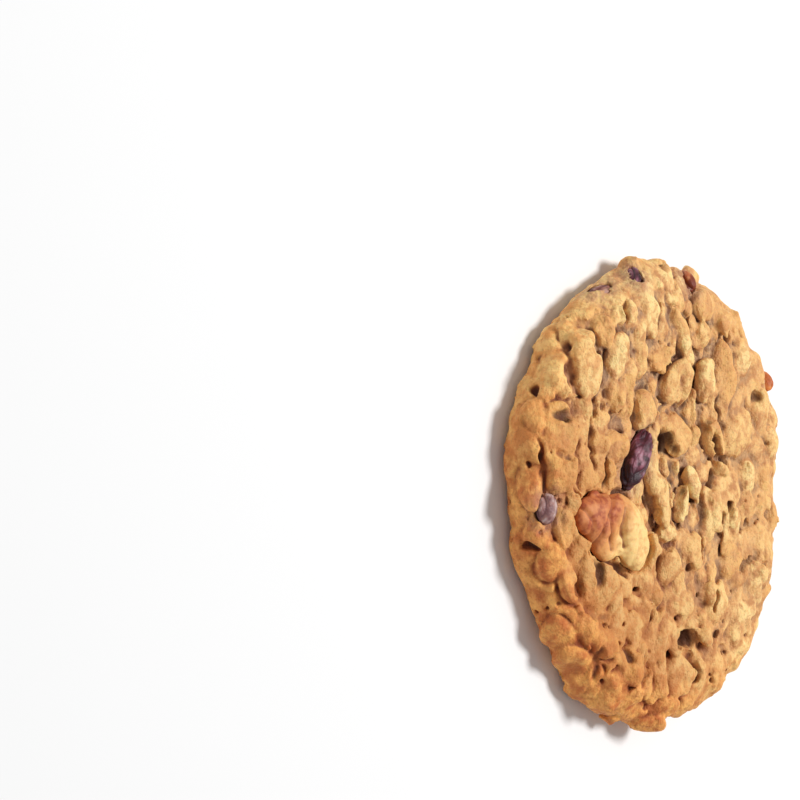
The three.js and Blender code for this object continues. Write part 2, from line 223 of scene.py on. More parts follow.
# %% Holes, berries and nut
HOLES = [  # u, v, length, width, turn, depth
    (-1.2, 7.6, 4.6, 2.0, 100, 3.2), (9.0, 13.4, 5.4, 3.6, 70, 1.8), (15.2, 5.2, 3.4, 2.0, 100, 2.4),
    (-32.4, 18.0, 2.8, 1.8, 60, 2.2), (14.6, 24.9, 3.0, 2.2, 80, 2.4), (-7.3, -1.9, 3.4, 2.0, 110, 2.6),
    (-3.9, -7.2, 3.2, 2.6, 80, 3.0), (3.4, -22.9, 5.0, 2.6, 5, 3.2), (10.2, -17.4, 4.0, 1.9, 80, 2.6),
    (-2.2, -17.0, 4.6, 3.2, 60, 1.6), (7.2, -28.8, 2.6, 1.8, 60, 2.2), (-35.7, -9.4, 4.4, 1.5, 5, 1.8),
    (-11.7, -25.4, 2.8, 1.8, 70, 2.2), (22.5, 16.2, 2.2, 1.8, 60, 2.0), (-13.2, -13.2, 5.6, 1.7, -35, 2.4),
]
CRANBERRIES = [  # name, u, v, length, width, thickness, turn, and how far it stands out
    ("cranberry_middle", -7.7, 5.7, 11.4, 5.0, 4.6, 61, 1.8),
    ("cranberry_top", -5.8, 34.7, 4.8, 2.8, 2.8, 65, 0.7),
    ("cranberry_upper_left", -13.8, 34.9, 5.8, 2.8, 2.8, 19, 0.6),
    ("cranberry_upper_right", 7.2, 33.3, 4.2, 2.6, 2.8, 90, 0.7),
    ("cranberry_left", -32.5, -2.8, 5.0, 3.8, 3.2, 85, 0.6),
    ("cranberry_edge", 30.4, 19.3, 4.0, 2.6, 3.4, 85, 1.6),
]
WALNUT_LOBES = [  # the same, without a name
    (-20.4, -3.9, 10.0, 7.8, 5.0, 10, 2.2), (-10.6, -7.4, 13.4, 8.0, 5.2, -65, 2.3),
    (-17.6, -9.0, 7.0, 5.8, 4.4, -30, 1.4), (-12.5, -1.9, 6.0, 5.0, 4.4, -30, 1.9),
]
print(len(HOLES), "holes,", len(CRANBERRIES), "cranberries and a nut of", len(WALNUT_LOBES), "lobes")

# %% Flakes between the large ones
FLAKE_HALF_THICKNESS = 1.7
FLAKE_RISE = 1.15
RIM_FLAKE_RISE = 0.45
SINKING = (23, 32)  # how far out the flakes begin to sink, and where they have sunk
FLAKE_TILT = 0.3  # the most, in radians
FILL_LENGTHS = [(8.6, 14), (7.4, 250), (6.2, 700), (5.0, 300)]  # each with a number of tries
FILL_REACH = 36
FILL_SPACING = 0.72  # 1 would keep the flakes from overlapping
FILL_WIDTHS = (0.62, 0.92)
FILL_TURNS = (60, 120)
FILL_RISES = (0.6, 1.1)
FILL_SEED = 1831


class Draws:
    """The same simple row of random numbers as the CAD draws from."""

    def __init__(self, seed):
        self.state = seed

    def next(self):
        self.state = (self.state * 1664525 + 1013904223) % 2 ** 32
        return self.state / 2 ** 32

    def between(self, span):
        return span[0] + (span[1] - span[0]) * self.next()


def rise_at(u, v):
    """Flakes stand high on the face and sink into the dough towards the rim."""
    start, end = SINKING
    share = min(max((math.hypot(u, v) - start) / (end - start), 0), 1)
    return FLAKE_RISE + (RIM_FLAKE_RISE - FLAKE_RISE) * share


def flake_list(draws):
    """Every flake as (u, v, length, width, turn, rise, tilt): the large ones, the crags, the rest."""
    flakes = [(*flake, rise_at(flake[0], flake[1])) for flake in LARGE_FLAKES] + list(CRAGS)
    taken = [berry[1:4] for berry in CRANBERRIES] + [lobe[:3] for lobe in WALNUT_LOBES]
    for length, tries in FILL_LENGTHS:
        for _ in range(tries):
            reach = FILL_REACH * math.sqrt(draws.next())
            angle = 2 * math.pi * draws.next()
            u, v = reach * math.cos(angle), reach * math.sin(angle)
            others = [flake[:3] for flake in flakes] + taken
            if all(math.hypot(x - u, y - v) > FILL_SPACING * (size + length) / 2
                   for x, y, size in others):
                width = length * draws.between(FILL_WIDTHS)
                turn = draws.between(FILL_TURNS)
                rise = rise_at(u, v) * draws.between(FILL_RISES)
                flakes.append((u, v, length, width, turn, rise))
    return [(*flake, (FLAKE_TILT * (2 * draws.next() - 1), FLAKE_TILT * (2 * draws.next() - 1)))
            for flake in flakes]


flakes = flake_list(Draws(FILL_SEED))
print(len(flakes), "flakes,", len(LARGE_FLAKES), "of them placed by hand")

# %% [markdown]
# ## A block of clay
# The block below is a grid of numbers, a quarter of a millimetre apart, that holds the distance to
# the surface. Each shape touches only the small window of the grid that it can reach, so hundreds
# of flakes and pits take seconds. Smooth minimum and maximum join and carve with a fillet, which is
# what dough does round whatever is pushed into it.

# %% The block
STEP = 0.26
FAR = 9.0  # the distance that stands for nothing near
LOW = np.array([-36.0, -41.5, -1.2])
HIGH = np.array([36.0, 41.5, 12.6])
HILL_GAIN = 2.2  # a spline flattens its hills; this brings them back to about 1


class Block:
    """A box of space cut into small cubes, with what is needed to model in it."""

    def __init__(self, low, high, step):
        self.low, self.step = np.array(low, float), step
        self.shape = tuple(int(round(size / step)) + 1 for size in np.array(high) - self.low)
        self.axes = [low_end + step * np.arange(count)
                     for low_end, count in zip(self.low, self.shape)]

    def full(self, value):
        return np.full(self.shape, value, np.float32)

    def window(self, middle, reach):
        """The part of the grid within reach of a point, and its points."""
        first = np.floor((middle - reach - self.low) / self.step).astype(int)
        last = np.ceil((middle + reach - self.low) / self.step).astype(int) + 1
        part = tuple(slice(max(a, 0), min(b, count))
                     for a, b, count in zip(first, last, self.shape))
        points = np.stack(np.meshgrid(*(axis[cut] for axis, cut in zip(self.axes, part)),
                                      indexing="ij"), -1)
        return part, points

    def sample(self, values, points):
        """The values at free points, blended from the eight nearest cubes."""
        place = np.clip((points - self.low) / self.step, 0, np.array(self.shape) - 1.001)
        base = place.astype(int)
        share = place - base
        total = 0
        for corner in np.ndindex(2, 2, 2):
            weight = np.prod(np.where(corner, share, 1 - share), axis=1)
            total = total + weight * values[tuple((base + corner).T)]
        return total

    def ripple(self, length, seed):
        """Smooth random hills of the given length, or lengths along X, Y and Z, from -1 to 1."""
        random = np.random.default_rng(int(100 * seed))
        lengths = np.broadcast_to(length, 3)
        counts = [int(np.ceil(count * self.step / size)) + 4
                  for count, size in zip(self.shape, lengths)]
        made = random.uniform(-1, 1, counts)
        for axis, (count, coarse, size) in enumerate(zip(self.shape, counts, lengths)):
            place = np.arange(count) * self.step / size + 1
            base = place.astype(int)
            t = place - base
            weights = np.zeros((count, coarse))
            rows = np.arange(count)
            for shift, weight in ((-1, (1 - t) ** 3 / 6), (0, (3 * t ** 3 - 6 * t ** 2 + 4) / 6),
                                  (1, (-3 * t ** 3 + 3 * t ** 2 + 3 * t + 1) / 6), (2, t ** 3 / 6)):
                weights[rows, base + shift] += weight
            made = np.moveaxis(np.tensordot(weights, made, (1, axis)), 0, axis)
        return (made * HILL_GAIN).astype(np.float32)

    def soften(self, values, radius):
        """A moving average over a cube, twice, which is close to a round blur."""
        reach = max(int(round(radius / self.step)), 1)
        for axis in (0, 1, 2) * 2:
            padded = np.concatenate([np.repeat(np.take(values, [0], axis), reach + 1, axis), values,
                                     np.repeat(np.take(values, [-1], axis), reach, axis)], axis)
            total = np.cumsum(padded, axis, dtype=np.float64)
            count = values.shape[axis]
            ahead = np.take(total, range(2 * reach + 1, 2 * reach + 1 + count), axis)
            behind = np.take(total, range(0, count), axis)
            values = ((ahead - behind) / (2 * reach + 1)).astype(np.float32)
        return values


block = Block(LOW, HIGH, STEP)
print("block of", block.shape, "cubes,", round(np.prod(block.shape) / 1e6, 1), "million")


# %% Joining, carving and the lens
def smooth_min(a, b, fillet):
    """Joins two fields, with a fillet of about this size where they meet."""
    blend = np.maximum(fillet - np.abs(a - b), 0) / fillet
    return np.minimum(a, b) - blend ** 2 * fillet / 4


def smooth_max(a, b, fillet):
    """Keeps what is in both; with -b, carves b out of a."""
    return -smooth_min(-a, -b, fillet)


def lens(points, middle, axes, size, bluntness=2.0, wobble=(0.0, 0.0)):
    """About how far points are from a flattened lens with the given half sizes. A bluntness of 2
    is a round edge and more is squarer; a wobble makes the outline three-cornered."""
    local = (points - middle) @ axes
    x, y, z = (local[..., i] / size[i] for i in range(3))
    wave = 1 + wobble[0] * np.sin(3 * np.arctan2(y, x) + wobble[1])
    flat = np.hypot(x, y) / wave + 1e-6
    whole = (flat ** bluntness + np.abs(z) ** bluntness) ** (1 / bluntness) + 1e-6
    steep = np.hypot(x / size[0], y / size[1]) / (flat * wave)
    slope = np.hypot((flat / whole) ** (bluntness - 1) * steep,
                     (np.abs(z) / whole) ** (bluntness - 1) / size[2]) + 1e-3
    return (whole - 1) / np.maximum(slope, 1 / max(size))


print("a 1 mm fillet fills a joint by", -float(smooth_min(0.0, 0.0, 1.0)), "mm")

# %% The plain dough as a field
TABLE_CELL = 0.2
TABLE_RADII = np.arange(0, 46, TABLE_CELL)
TABLE_HEIGHTS = np.arange(-2, 15, TABLE_CELL)


def plain_dough(block):
    """Undoes the outline and swells, then reads the distance to the section from a table."""
    x, y, z = np.meshgrid(*block.axes, indexing="ij", sparse=True)
    angle = np.arctan2(y, x)
    radius = np.hypot(x, y)
    stretch = outline_radius(angle) / MEAN_RADIUS
    near_rim = np.maximum(0, radius / stretch / MEAN_RADIUS - RIM_SHARE) / (1 - RIM_SHARE)
    even = np.maximum((radius - bulge(angle, z) * np.minimum(near_rim, 1)) / stretch, 0)
    lift = swell(even * np.cos(angle), even * np.sin(angle))
    height = z - lift * np.clip(z / SHOULDER_HEIGHT, 0, 1)

    ring = np.concatenate([section, [[0, 0]]])
    grid = np.stack(np.meshgrid(TABLE_RADII, TABLE_HEIGHTS, indexing="ij"), -1)
    nearest = np.full(grid.shape[:2], FAR)
    inside = np.zeros(grid.shape[:2], bool)
    for start, end in zip(ring[:-1], ring[1:]):
        along = end - start
        share = np.clip(((grid - start) @ along) / (along @ along), 0, 1)
        nearest = np.minimum(nearest, np.linalg.norm(grid - start - share[..., None] * along, axis=-1))
        crosses = (grid[..., 1] < start[1]) != (grid[..., 1] < end[1])
        rise = end[1] - start[1] if end[1] != start[1] else 1.0
        reach = start[0] + (grid[..., 1] - start[1]) / rise * along[0]
        inside ^= crosses & (grid[..., 0] < reach)
    table = np.where(inside, -nearest, nearest)

    row = np.clip(even / TABLE_CELL, 0, len(TABLE_RADII) - 1.01)
    column = np.clip((height - TABLE_HEIGHTS[0]) / TABLE_CELL, 0, len(TABLE_HEIGHTS) - 1.01)
    i, j = row.astype(int), column.astype(int)
    s, t = row - i, column - j
    made = ((1 - s) * (1 - t) * table[i, j] + s * (1 - t) * table[i + 1, j]
            + (1 - s) * t * table[i, j + 1] + s * t * table[i + 1, j + 1])
    return made.astype(np.float32)


dough = plain_dough(block)
print("plain dough of", round(float((dough < 0).sum()) * STEP ** 3 / 1000, 1), "cubic centimetres")

# %% [markdown]
# ## Flakes in the dough
# Seen close, a baked flake is not stuck on: dough fills the space between the flakes almost to
# their tops, so the face is a pavement of plates at nearly one height. What shows is the joints.
# At the edge of a flake the dough has shrunk away in some places and left a dark joint, and runs
# smoothly up to it in others. Here and there the filling has sunk and leaves a hollow. First we make
# hills of a few sizes, which roughen and bend everything that follows.

# %% Unevenness
BENDS = [(3.2, 0.6), (1.5, 0.3)]  # lengths of the waves that bend every outline, and their reach
broad = block.ripple(4.5, 1)
fine = block.ripple(1.7, 2)
finest = block.ripple(0.75, 3)
bend = sum(np.stack([block.ripple(length, seed + length) for seed in (11, 12, 13)], -1) * reach
           for length, reach in BENDS)
print("hills of 4.5, 1.7 and 0.75 mm, and bends of", [length for length, _ in BENDS], "mm")

# %% The flakes as a field
FLAKE_BLUNTNESS, TOOTH_BLUNTNESS = 2.6, 1.1
FLAKE_WOBBLE = 0.06
LARGE_WANDER, CRAG_WANDER, FILL_WANDER = 0.5, 1.1, 0.8  # how much of the bend each kind takes
LARGE_SPREAD = 0.15
TOOTH_BELOW = 3.0  # a crag shorter than this is a pointed crumb
TOOTH_SPREAD = 1.9
EDGE_WIDTH = 0.42
MOAT_WIDTH = 1.3
TONE_SEED = 7
flake_field = block.full(FAR)
crease = block.full(0)  # 1 along the edge of every flake
moat = block.full(0)  # the same, wider, and round the large ones only
clear_edge = block.full(0)  # 1 on the large flakes and close to them
kept = block.full(0)  # 1 well inside the large flakes, whose skin stays smooth
tone = block.full(0)  # each flake's own shade of gold
flake_tones = np.random.default_rng(TONE_SEED).uniform(-1, 1, len(flakes))
for number, (u, v, length, width, turn, rise, tilt) in enumerate(flakes):
    middle, axes = seat(u, v, turn, rise - FLAKE_HALF_THICKNESS, tilt)
    part, points = block.window(middle, length / 2 + 1.8)
    large = number < len(LARGE_FLAKES)
    craggy = len(LARGE_FLAKES) <= number < len(LARGE_FLAKES) + len(CRAGS)
    tooth = craggy and length < TOOTH_BELOW
    wander = LARGE_WANDER if large else CRAG_WANDER if craggy else FILL_WANDER
    spread = 0.5 * length * (TOOTH_SPREAD if tooth else 1) + (LARGE_SPREAD if large else 0)
    distance = lens(points + bend[part] * wander, middle, axes,
                    (spread, spread - 0.5 * (length - width), FLAKE_HALF_THICKNESS),
                    TOOTH_BLUNTNESS if tooth else FLAKE_BLUNTNESS, (FLAKE_WOBBLE, 2.4 * number))
    crease[part] = np.maximum(crease[part], np.exp(-(distance / EDGE_WIDTH) ** 2))
    if large:
        kept[part] = np.maximum(kept[part], np.clip(0.5 - distance, 0, 1))
        clear_edge[part] = np.maximum(clear_edge[part], np.clip(1.2 - distance, 0, 1))
        moat[part] = np.maximum(moat[part], np.exp(-(distance / MOAT_WIDTH) ** 2))
    closer = distance < flake_field[part]
    tone[part] = np.where(closer, flake_tones[number], tone[part])
    flake_field[part] = smooth_min(flake_field[part], distance, 0.15)
print("flakes fill", round(100 * float((flake_field < 0).mean()), 1), "% of the block")

# %% Where the face, the skirt and the calmer far side are
FAR_SIDE = (8, 22)  # on the +X side the relief fades from here to there
SKIRT_SHARE = 0.15  # how much of the face's relief the skirt gets
x, y = np.meshgrid(block.axes[0], block.axes[1], indexing="ij")
out = np.hypot(x, y) / outline_radius(np.arctan2(y, x))
far_side = np.clip((x - FAR_SIDE[0]) / (FAR_SIDE[1] - FAR_SIDE[0]), 0, 1)
on_face = np.clip((0.98 - 0.16 * far_side - out) / (0.14 + 0.1 * far_side), SKIRT_SHARE, 1)
on_face = on_face[:, :, None].astype(np.float32)
calm = (1 - 0.5 * far_side[:, :, None]).astype(np.float32)
print("the face covers", round(100 * float((on_face > 0.5).mean())), "% of the block's ground")

# %% Set the flakes in
FILLING = 0.45  # how high the dough stands between the flakes
INNER_SINKING = 0.3  # how much lower it stands in the middle of the face
JOINT_DEPTH = 1.3
MOAT_DEPTH = 0.2
sunken = np.clip(1.3 * block.ripple((3.4, 5.0, 7.0), 6) - 0.15, 0, 1) * on_face
open_joint = np.clip(0.2 + 0.5 * clear_edge + 0.8 * broad + 0.5 * fine, 0, 1)
open_joint *= 0.3 + 0.7 * on_face
inner = np.clip((0.8 - out) / 0.35, 0, 1)[:, :, None]
body = dough - (FILLING - INNER_SINKING * inner) * (1 - 0.85 * sunken) * np.clip(1.3 * on_face, 0.3, 1)
body += JOINT_DEPTH * crease * open_joint + MOAT_DEPTH * moat * (0.4 + 0.6 * on_face)
body = smooth_min(body, flake_field + 0.14 * broad + 0.08 * fine, 0.9 - 0.7 * open_joint)
print("flakes set in, with joints on", round(100 * float((open_joint > 0.5).mean())), "% of the block")

# %% [markdown]
# ## Cracks and lumps
# Between the flakes the dough is not smooth either: it dried and tore while it rose. A line where
# smooth hills pass through zero wanders like a crack, and such hills with their negative half
# folded up make round lumps with sharp valleys. Both are drawn out along Y, as the lumps on the
# real face are, and both spare the large flakes.

# %% Cracks and lumps
CRACKS = [((2.6, 4.6, 3.0), 0.12, 0.9), ((1.5, 2.2, 1.5), 0.18, 0.45)]  # lengths, width, depth
LUMPS = [((2.9, 5.2, 3.2), 0.65), ((1.4, 2.4, 1.4), 0.4)]  # lengths, depth


def folds(block, length, seed):
    """1 in sharp valleys and 0 on the rounded lumps between them."""
    return 1 - np.minimum(2.0 * np.abs(block.ripple(length, seed)), 1)


for number, (length, width, depth) in enumerate(CRACKS):
    where = np.clip(0.15 + 1.2 * block.ripple(3.6, 50 + number), 0, 1)
    line = np.exp(-(block.ripple(length, 40 + number) / width) ** 2)
    body += depth * line * where * calm * (0.3 + 0.7 * on_face) * (1 - 0.5 * kept)
for number, (length, depth) in enumerate(LUMPS):
    fold = depth * folds(block, length, 30 + number)
    body += fold * calm * (0.35 + 0.65 * on_face) * (1 - 0.45 * kept)
print("dough torn by", len(CRACKS), "sizes of cracks and", len(LUMPS), "of lumps")

# %% [markdown]
# ## Crumbs
# Broken flakes and crumbs of dough stick to the face everywhere. Particles would scatter copies of
# one crumb and leave seams round them. In the block each crumb is a small bent lens of its own that
# melts into what it lies on: some hundreds of large ones on the face, and thousands of small ones
# that also cover the skirt. A crumb sits on the skin as it is by now, so we look for that first.

# %% Sizes of the crumbs
SKIRT_REACH = 44.0
CRUMBS = [  # how many, their lengths, how much the short ones prevail, how far out
    (340, (2.6, 4.4), 1.0, 30.0),
    (3000, (0.9, 2.6), 2.4, SKIRT_REACH),
]
CRUMB_SEED = 77
CRUMB_WIDTHS = (0.55, 0.95)
CRUMB_HEIGHTS = (0.4, 0.7)
TALLEST_CRUMB = 1.3
RIM_CRUMB = 1.6  # longer ones would change the outline, so they stay off the rim
print(sum(count for count, *_ in CRUMBS), "places to try for crumbs")


# %% Scatter the crumbs
def skin_rises(field, places):
    """How far the skin stands out from the plain dough at each place; None where it has gone, and
    on the large flakes, which stay smooth."""
    heights = np.arange(2.4, -1.6, -0.15)
    frames = [frame_at(u, v) for u, v in places]
    rays = np.array([point + axes[:, 2] * heights[:, None] for point, axes, _ in frames])
    inside = block.sample(field, rays.reshape(-1, 3)).reshape(rays.shape[:2]) < 0
    highest = inside.argmax(1)
    smooth = block.sample(kept, rays[np.arange(len(places)), highest]) > 0.5
    return [float(heights[first]) if row.any() and not bare else None
            for first, row, bare in zip(highest, inside, smooth)]


def scatter(draws, count, farthest):
    """Places evenly spread up to a way from the middle of the face."""
    places = []
    for _ in range(count):
        reach = farthest * math.sqrt(draws.next())
        angle = 2 * math.pi * draws.next()
        places.append((reach * math.cos(angle), reach * math.sin(angle)))
    return places


draws = Draws(CRUMB_SEED)
for count, (smallest, largest), bias, farthest in CRUMBS:
    places = scatter(draws, count, farthest)
    for (u, v), rise in zip(places, skin_rises(body, places)):
        length = smallest + (largest - smallest) * draws.next() ** bias
        width = length * draws.between(CRUMB_WIDTHS)
        height = min(length * draws.between(CRUMB_HEIGHTS), TALLEST_CRUMB)
        turn = draws.between((50, 130))
        if rise is None or (math.hypot(u, v) > 0.9 * MEAN_RADIUS and length > RIM_CRUMB):
            continue
        middle, axes = seat(u, v, turn, rise + height * draws.between((-0.5, -0.2)))
        part, points = block.window(middle, length / 2 + 1.0)
        distance = lens(points + 0.5 * bend[part], middle, axes, (length / 2, width / 2, height / 2))
        closer = distance < np.minimum(body[part], 0.1)
        tone[part] = np.where(closer, draws.between((-1, 1)), tone[part])
        body[part] = smooth_min(body[part], distance, 0.2)
    print(count, "crumbs of", smallest, "to", largest, "mm")

# %% [markdown]
# ## Holes, creases and pits
# Steam leaves holes, and the dough parts along creases beside the largest lumps. Each is a lens too,
# but one that is taken away. A crease is a row of them along a line of (u, v) places. We see the
# face at a slant from -X, so the dark we see in a hole is its far wall, and the hole's middle lies a
# little beyond it. Small pits are scattered with a seed. The skin before this step is kept, so that
# the paint can tell how deep a place was dug.

# %% Where holes and creases are
CREASES = [  # depth, width, places
    (1.8, 0.9, [(-1.4, 6.0), (-0.6, 2.6), (0.6, -1.2), (1.4, -4.6)]),
    (1.6, 0.8, [(-0.6, 6.4), (2.2, 4.4), (3.6, 1.6), (3.2, -3.4)]),
    (1.9, 1.0, [(-22.6, -7.6), (-19.6, -9.6), (-16.2, -11.4), (-12.4, -13.6), (-9.6, -14.4)]),
    (1.8, 0.9, [(-24.2, -11.8), (-24.8, -16.8), (-22.8, -19.8), (-18.8, -21.0), (-15.2, -20.4)]),
    (1.4, 0.8, [(-3.9, -7.2), (-1.4, -8.8), (1.4, -8.4)]),
    (1.5, 0.7, [(4.6, -24.6), (6.2, -26.4), (6.6, -28.4)]),
    (1.2, 0.6, [(20.6, 15.4), (22.4, 12.6), (24.6, 10.0)]),
    (1.3, 0.8, [(19.0, -12.8), (22.0, -11.2), (24.4, -10.6)]),
    (1.5, 0.7, [(-0.4, 31.4), (0.4, 28.2), (1.0, 25.0)]),
    (1.6, 0.8, [(-11.4, 31.0), (-11.8, 28.0), (-12.2, 26.2)]),
    (1.6, 0.8, [(-25.2, 23.4), (-25.4, 20.0), (-24.8, 16.2)]),
    (1.6, 0.7, [(-33.4, 9.4), (-33.6, 5.0), (-33.2, 0.8)]),
    (1.6, 0.7, [(-24.8, 9.0), (-25.0, 5.0), (-25.0, 0.8)]),
    (1.5, 0.7, [(-18.0, -25.8), (-17.6, -28.6), (-16.8, -31.2)]),
    (2.0, 1.3, [(8.2, 15.6), (9.0, 12.0), (9.2, 9.4)]),
    (1.3, 0.6, [(-1.6, 15.0), (0.4, 12.4), (4.6, 12.8), (7.0, 14.6)]),
    (1.4, 0.6, [(-9.6, 17.4), (-8.8, 14.0), (-8.8, 11.6)]),
    (1.5, 0.7, [(12.6, 16.6), (13.0, 13.6), (14.2, 10.8)]),
    (1.3, 0.6, [(12.2, 27.6), (12.0, 23.6), (12.2, 19.0)]),
    (1.4, 0.7, [(-6.6, -30.8), (-5.4, -27.4), (-6.0, -24.2)]),
    (1.3, 0.7, [(8.0, -4.6), (9.0, -8.0), (8.6, -11.6)]),
    (1.3, 0.8, [(14.6, 5.0), (17.8, 5.8), (21.8, 5.0)]),
    (1.8, 1.4, [(1.0, 6.4), (1.8, 3.0), (2.2, -2.4)]),
    (1.6, 0.9, [(-20.4, 12.0), (-21.0, 8.0), (-20.6, 3.6)]),
    (1.5, 0.8, [(-17.4, 6.0), (-17.8, 2.8), (-17.0, 0.4)]),
    (1.6, 1.1, [(9.6, 4.0), (9.8, 1.2), (9.4, -3.6), (9.2, -7.0)]),
    (0.9, 0.9, [(-20.8, -11.6), (-19.8, -14.4), (-20.8, -17.6)]),
    (0.9, 1.0, [(-31.4, 7.0), (-29.0, 6.2), (-26.0, 6.8)]),
    (0.9, 1.0, [(-30.6, 13.6), (-28.2, 12.6), (-25.4, 13.2)]),
    (1.7, 1.0, [(11.6, 9.6), (14.0, 5.6), (17.6, 4.8)]),
    (1.6, 1.1, [(-4.4, -1.2), (-3.2, -5.4), (-1.2, -8.2), (3.6, -8.2)]),
]
CREASE_STEP = 0.45  # from one scoop of a crease to the next
CREASE_SCOOP = 1.6  # the length of each
CREASE_WIDENING, CREASE_DEEPENING, HOLE_SHRINKING = 1.5, 1.1, 0.9
FAR_WALL = 1.3  # from the middle of the dark patch in a hole to the middle of the hole
DEEP_SPOTS = [  # small holes that the CAD leaves out, listed like the others
    (-0.8, 8.1, 2.5, 1.7, 75, 3.6), (4.9, -12.0, 2.4, 1.8, 80, 2.2), (-24.1, -16.8, 2.6, 1.5, 110, 2.4),
    (16.2, -2.6, 2.4, 1.6, 100, 2.0), (-10.0, 12.8, 2.6, 1.6, 90, 2.0), (-18.2, 16.6, 2.2, 1.4, 90, 1.8),
]
print(len(HOLES) + len(DEEP_SPOTS), "holes and", len(CREASES), "creases")


# %% Dig holes and creases
def scoop(field, u, v, length, width, turn, depth, height=0.3, fillet=0.3, wander=0.6):
    """Takes a bent lens out of the field, its middle this high above the plain dough."""
    middle, axes = seat(u, v, turn, height)
    part, points = block.window(middle, max(length / 2, depth) + 1.0)
    distance = lens(points + wander * bend[part], middle, axes, (length / 2, width / 2, depth), 2.0,
                    (0.12, 3 * u + v))
    field[part] = smooth_max(field[part], -distance, fillet)


# The skin before digging is kept so that the paint can darken what was dug: painted shade.
undug = body.copy()
for u, v, length, width, turn, depth in HOLES + DEEP_SPOTS:
    beyond = FAR_WALL if math.hypot(u, v) < RIM_SHARE * MEAN_RADIUS else 0
    scoop(body, u + beyond, v, HOLE_SHRINKING * length, HOLE_SHRINKING * width, turn, depth,
          FLAKE_RISE / 2, 0.3, 1.1)
for depth, width, line in CREASES:
    line = np.array(line)
    ways = np.concatenate([[0], np.cumsum(np.hypot(*np.diff(line, axis=0).T))])
    for way in np.arange(0, ways[-1], CREASE_STEP):
        u, v = (np.interp(way, ways, line[:, i]) for i in (0, 1))
        taper = math.sqrt(max(math.sin(math.pi * (way + 0.3) / (ways[-1] + 0.6)), 0.05))
        sway = 0.35 * math.sin(2.1 * way + u)
        scoop(body, u + sway, v, CREASE_SCOOP, CREASE_WIDENING * width * taper, 90,
              CREASE_DEEPENING * depth * taper, 0.5, 0.2)
dug = float(((undug < 0) & (body >= 0)).sum()) * STEP ** 3
print("dug away", round(dug), "cubic millimetres")

# %% Pits
PIT_COUNT = 280
PIT_SIZES = (0.35, 0.85)
PIT_SEED = 405
draws = Draws(PIT_SEED)
places = scatter(draws, PIT_COUNT, SKIRT_REACH)
for (u, v), rise in zip(places, skin_rises(body, places)):
    size = draws.between(PIT_SIZES) * (0.6 + 0.8 * draws.next() ** 3)
    if rise is None:
        continue
    scoop(body, u, v, size * draws.between((1.0, 1.8)), size, draws.between((40, 140)),
          size * draws.between((0.8, 1.6)), rise, 0.2)
print(PIT_COUNT, "pits")

# %% [markdown]
# ## Beds for the berries and the nut
# The dough was pressed round each of them, so the bed is the piece's own shape. It also laps over
# most berries in a thin cover with an opening, and their juice has soaked into the dough near them.
# Last, the tray cuts the block off flat at the bottom, and the CAD's box trims what stands out of it.

# %% Press the beds
COVERS = {  # thickness of the cover, and the opening: share of length and width, raggedness
    "cranberry_middle": (0.0, 1.2, 1.2, 0.8), "cranberry_top": (0.2, 0.95, 0.95, 0.8),
    "cranberry_upper_left": (0.25, 0.85, 0.7, 1.2), "cranberry_upper_right": (0.2, 0.9, 0.85, 0.8),
    "cranberry_left": (0.1, 0.72, 0.62, 0.9), "cranberry_edge": (0.1, 1.2, 1.2, 0.8),
}
JUICE_REACH = 2.4
BED_GAP = 0.1


def berry_place(berry):
    """A berry's middle, axes and half sizes."""
    _, u, v, length, width, thickness, turn, rise = berry
    middle, axes = seat(u, v, turn, rise - thickness / 2)
    return middle, axes, (length / 2, width / 2, thickness / 2)


# The last unevenness comes before the covers, which are thin and would tear.
body += 0.25 * block.ripple(8.0, 5) * on_face + 0.16 * broad + 0.2 * fine + 0.1 * finest + 0.1
juice = block.full(0)
for berry in CRANBERRIES:
    middle, axes, size = berry_place(berry)
    part, points = block.window(middle, size[0] + JUICE_REACH)
    distance = lens(points, middle, axes, size)
    juice[part] = np.maximum(juice[part], np.clip(1 - distance / JUICE_REACH, 0, 1))
    cover, long_share, wide_share, wander = COVERS[berry[0]]
    body[part] = smooth_min(body[part], distance - cover * (1 + 0.6 * fine[part]), 0.5)
    bare = lens(points + wander * bend[part], middle, axes,
                (size[0] * long_share, size[1] * wide_share, 4 * size[2]))
    outward = (points - middle) @ axes[:, 2]
    bed = smooth_max(np.minimum(distance - BED_GAP, -outward), bare, 0.1)
    body[part] = smooth_max(smooth_max(body[part], -bed, 0.3), -distance + BED_GAP, 0.1)
for u, v, length, width, thickness, turn, rise in WALNUT_LOBES:
    middle, axes = seat(u, v, turn, rise - thickness / 2)
    part, points = block.window(middle, length / 2 + 1.2)
    distance = lens(points, middle, axes, (length / 2, width / 2, thickness / 2))
    above = lens(points, middle, axes, (length / 2 + 0.2, width / 2 + 0.2, 4 * thickness))
    above = np.maximum(above, -(points - middle) @ axes[:, 2])
    body[part] = smooth_max(body[part], -np.minimum(distance, above) + BED_GAP, 0.3)
print("beds for", len(CRANBERRIES), "berries and the nut")

# %% Cut flat and trim
FOOT_FILLET = 0.6
BOX_MARGIN = 0.05
BOX_FILLET = 0.5
under = -block.axes[2][None, None, :] + 0.04 * (1.4 + fine) + np.zeros_like(body)
body = smooth_max(body, under.astype(np.float32), FOOT_FILLET)
box_low, box_high = (np.array(corner) / MM + BOX_MIDDLE for corner in cad_box)
for axis, (line, start, end) in enumerate(zip(block.axes, box_low, box_high)):
    beyond = line - end if axis == 2 else np.maximum(start - line, line - end)
    others = [other for other in range(3) if other != axis]
    body = smooth_max(body, np.expand_dims(beyond + BOX_MARGIN, others).astype(np.float32),
                      BOX_FILLET)
print("dough of", round(float((body < 0).sum()) * STEP ** 3 / 1000, 1), "cubic centimetres")

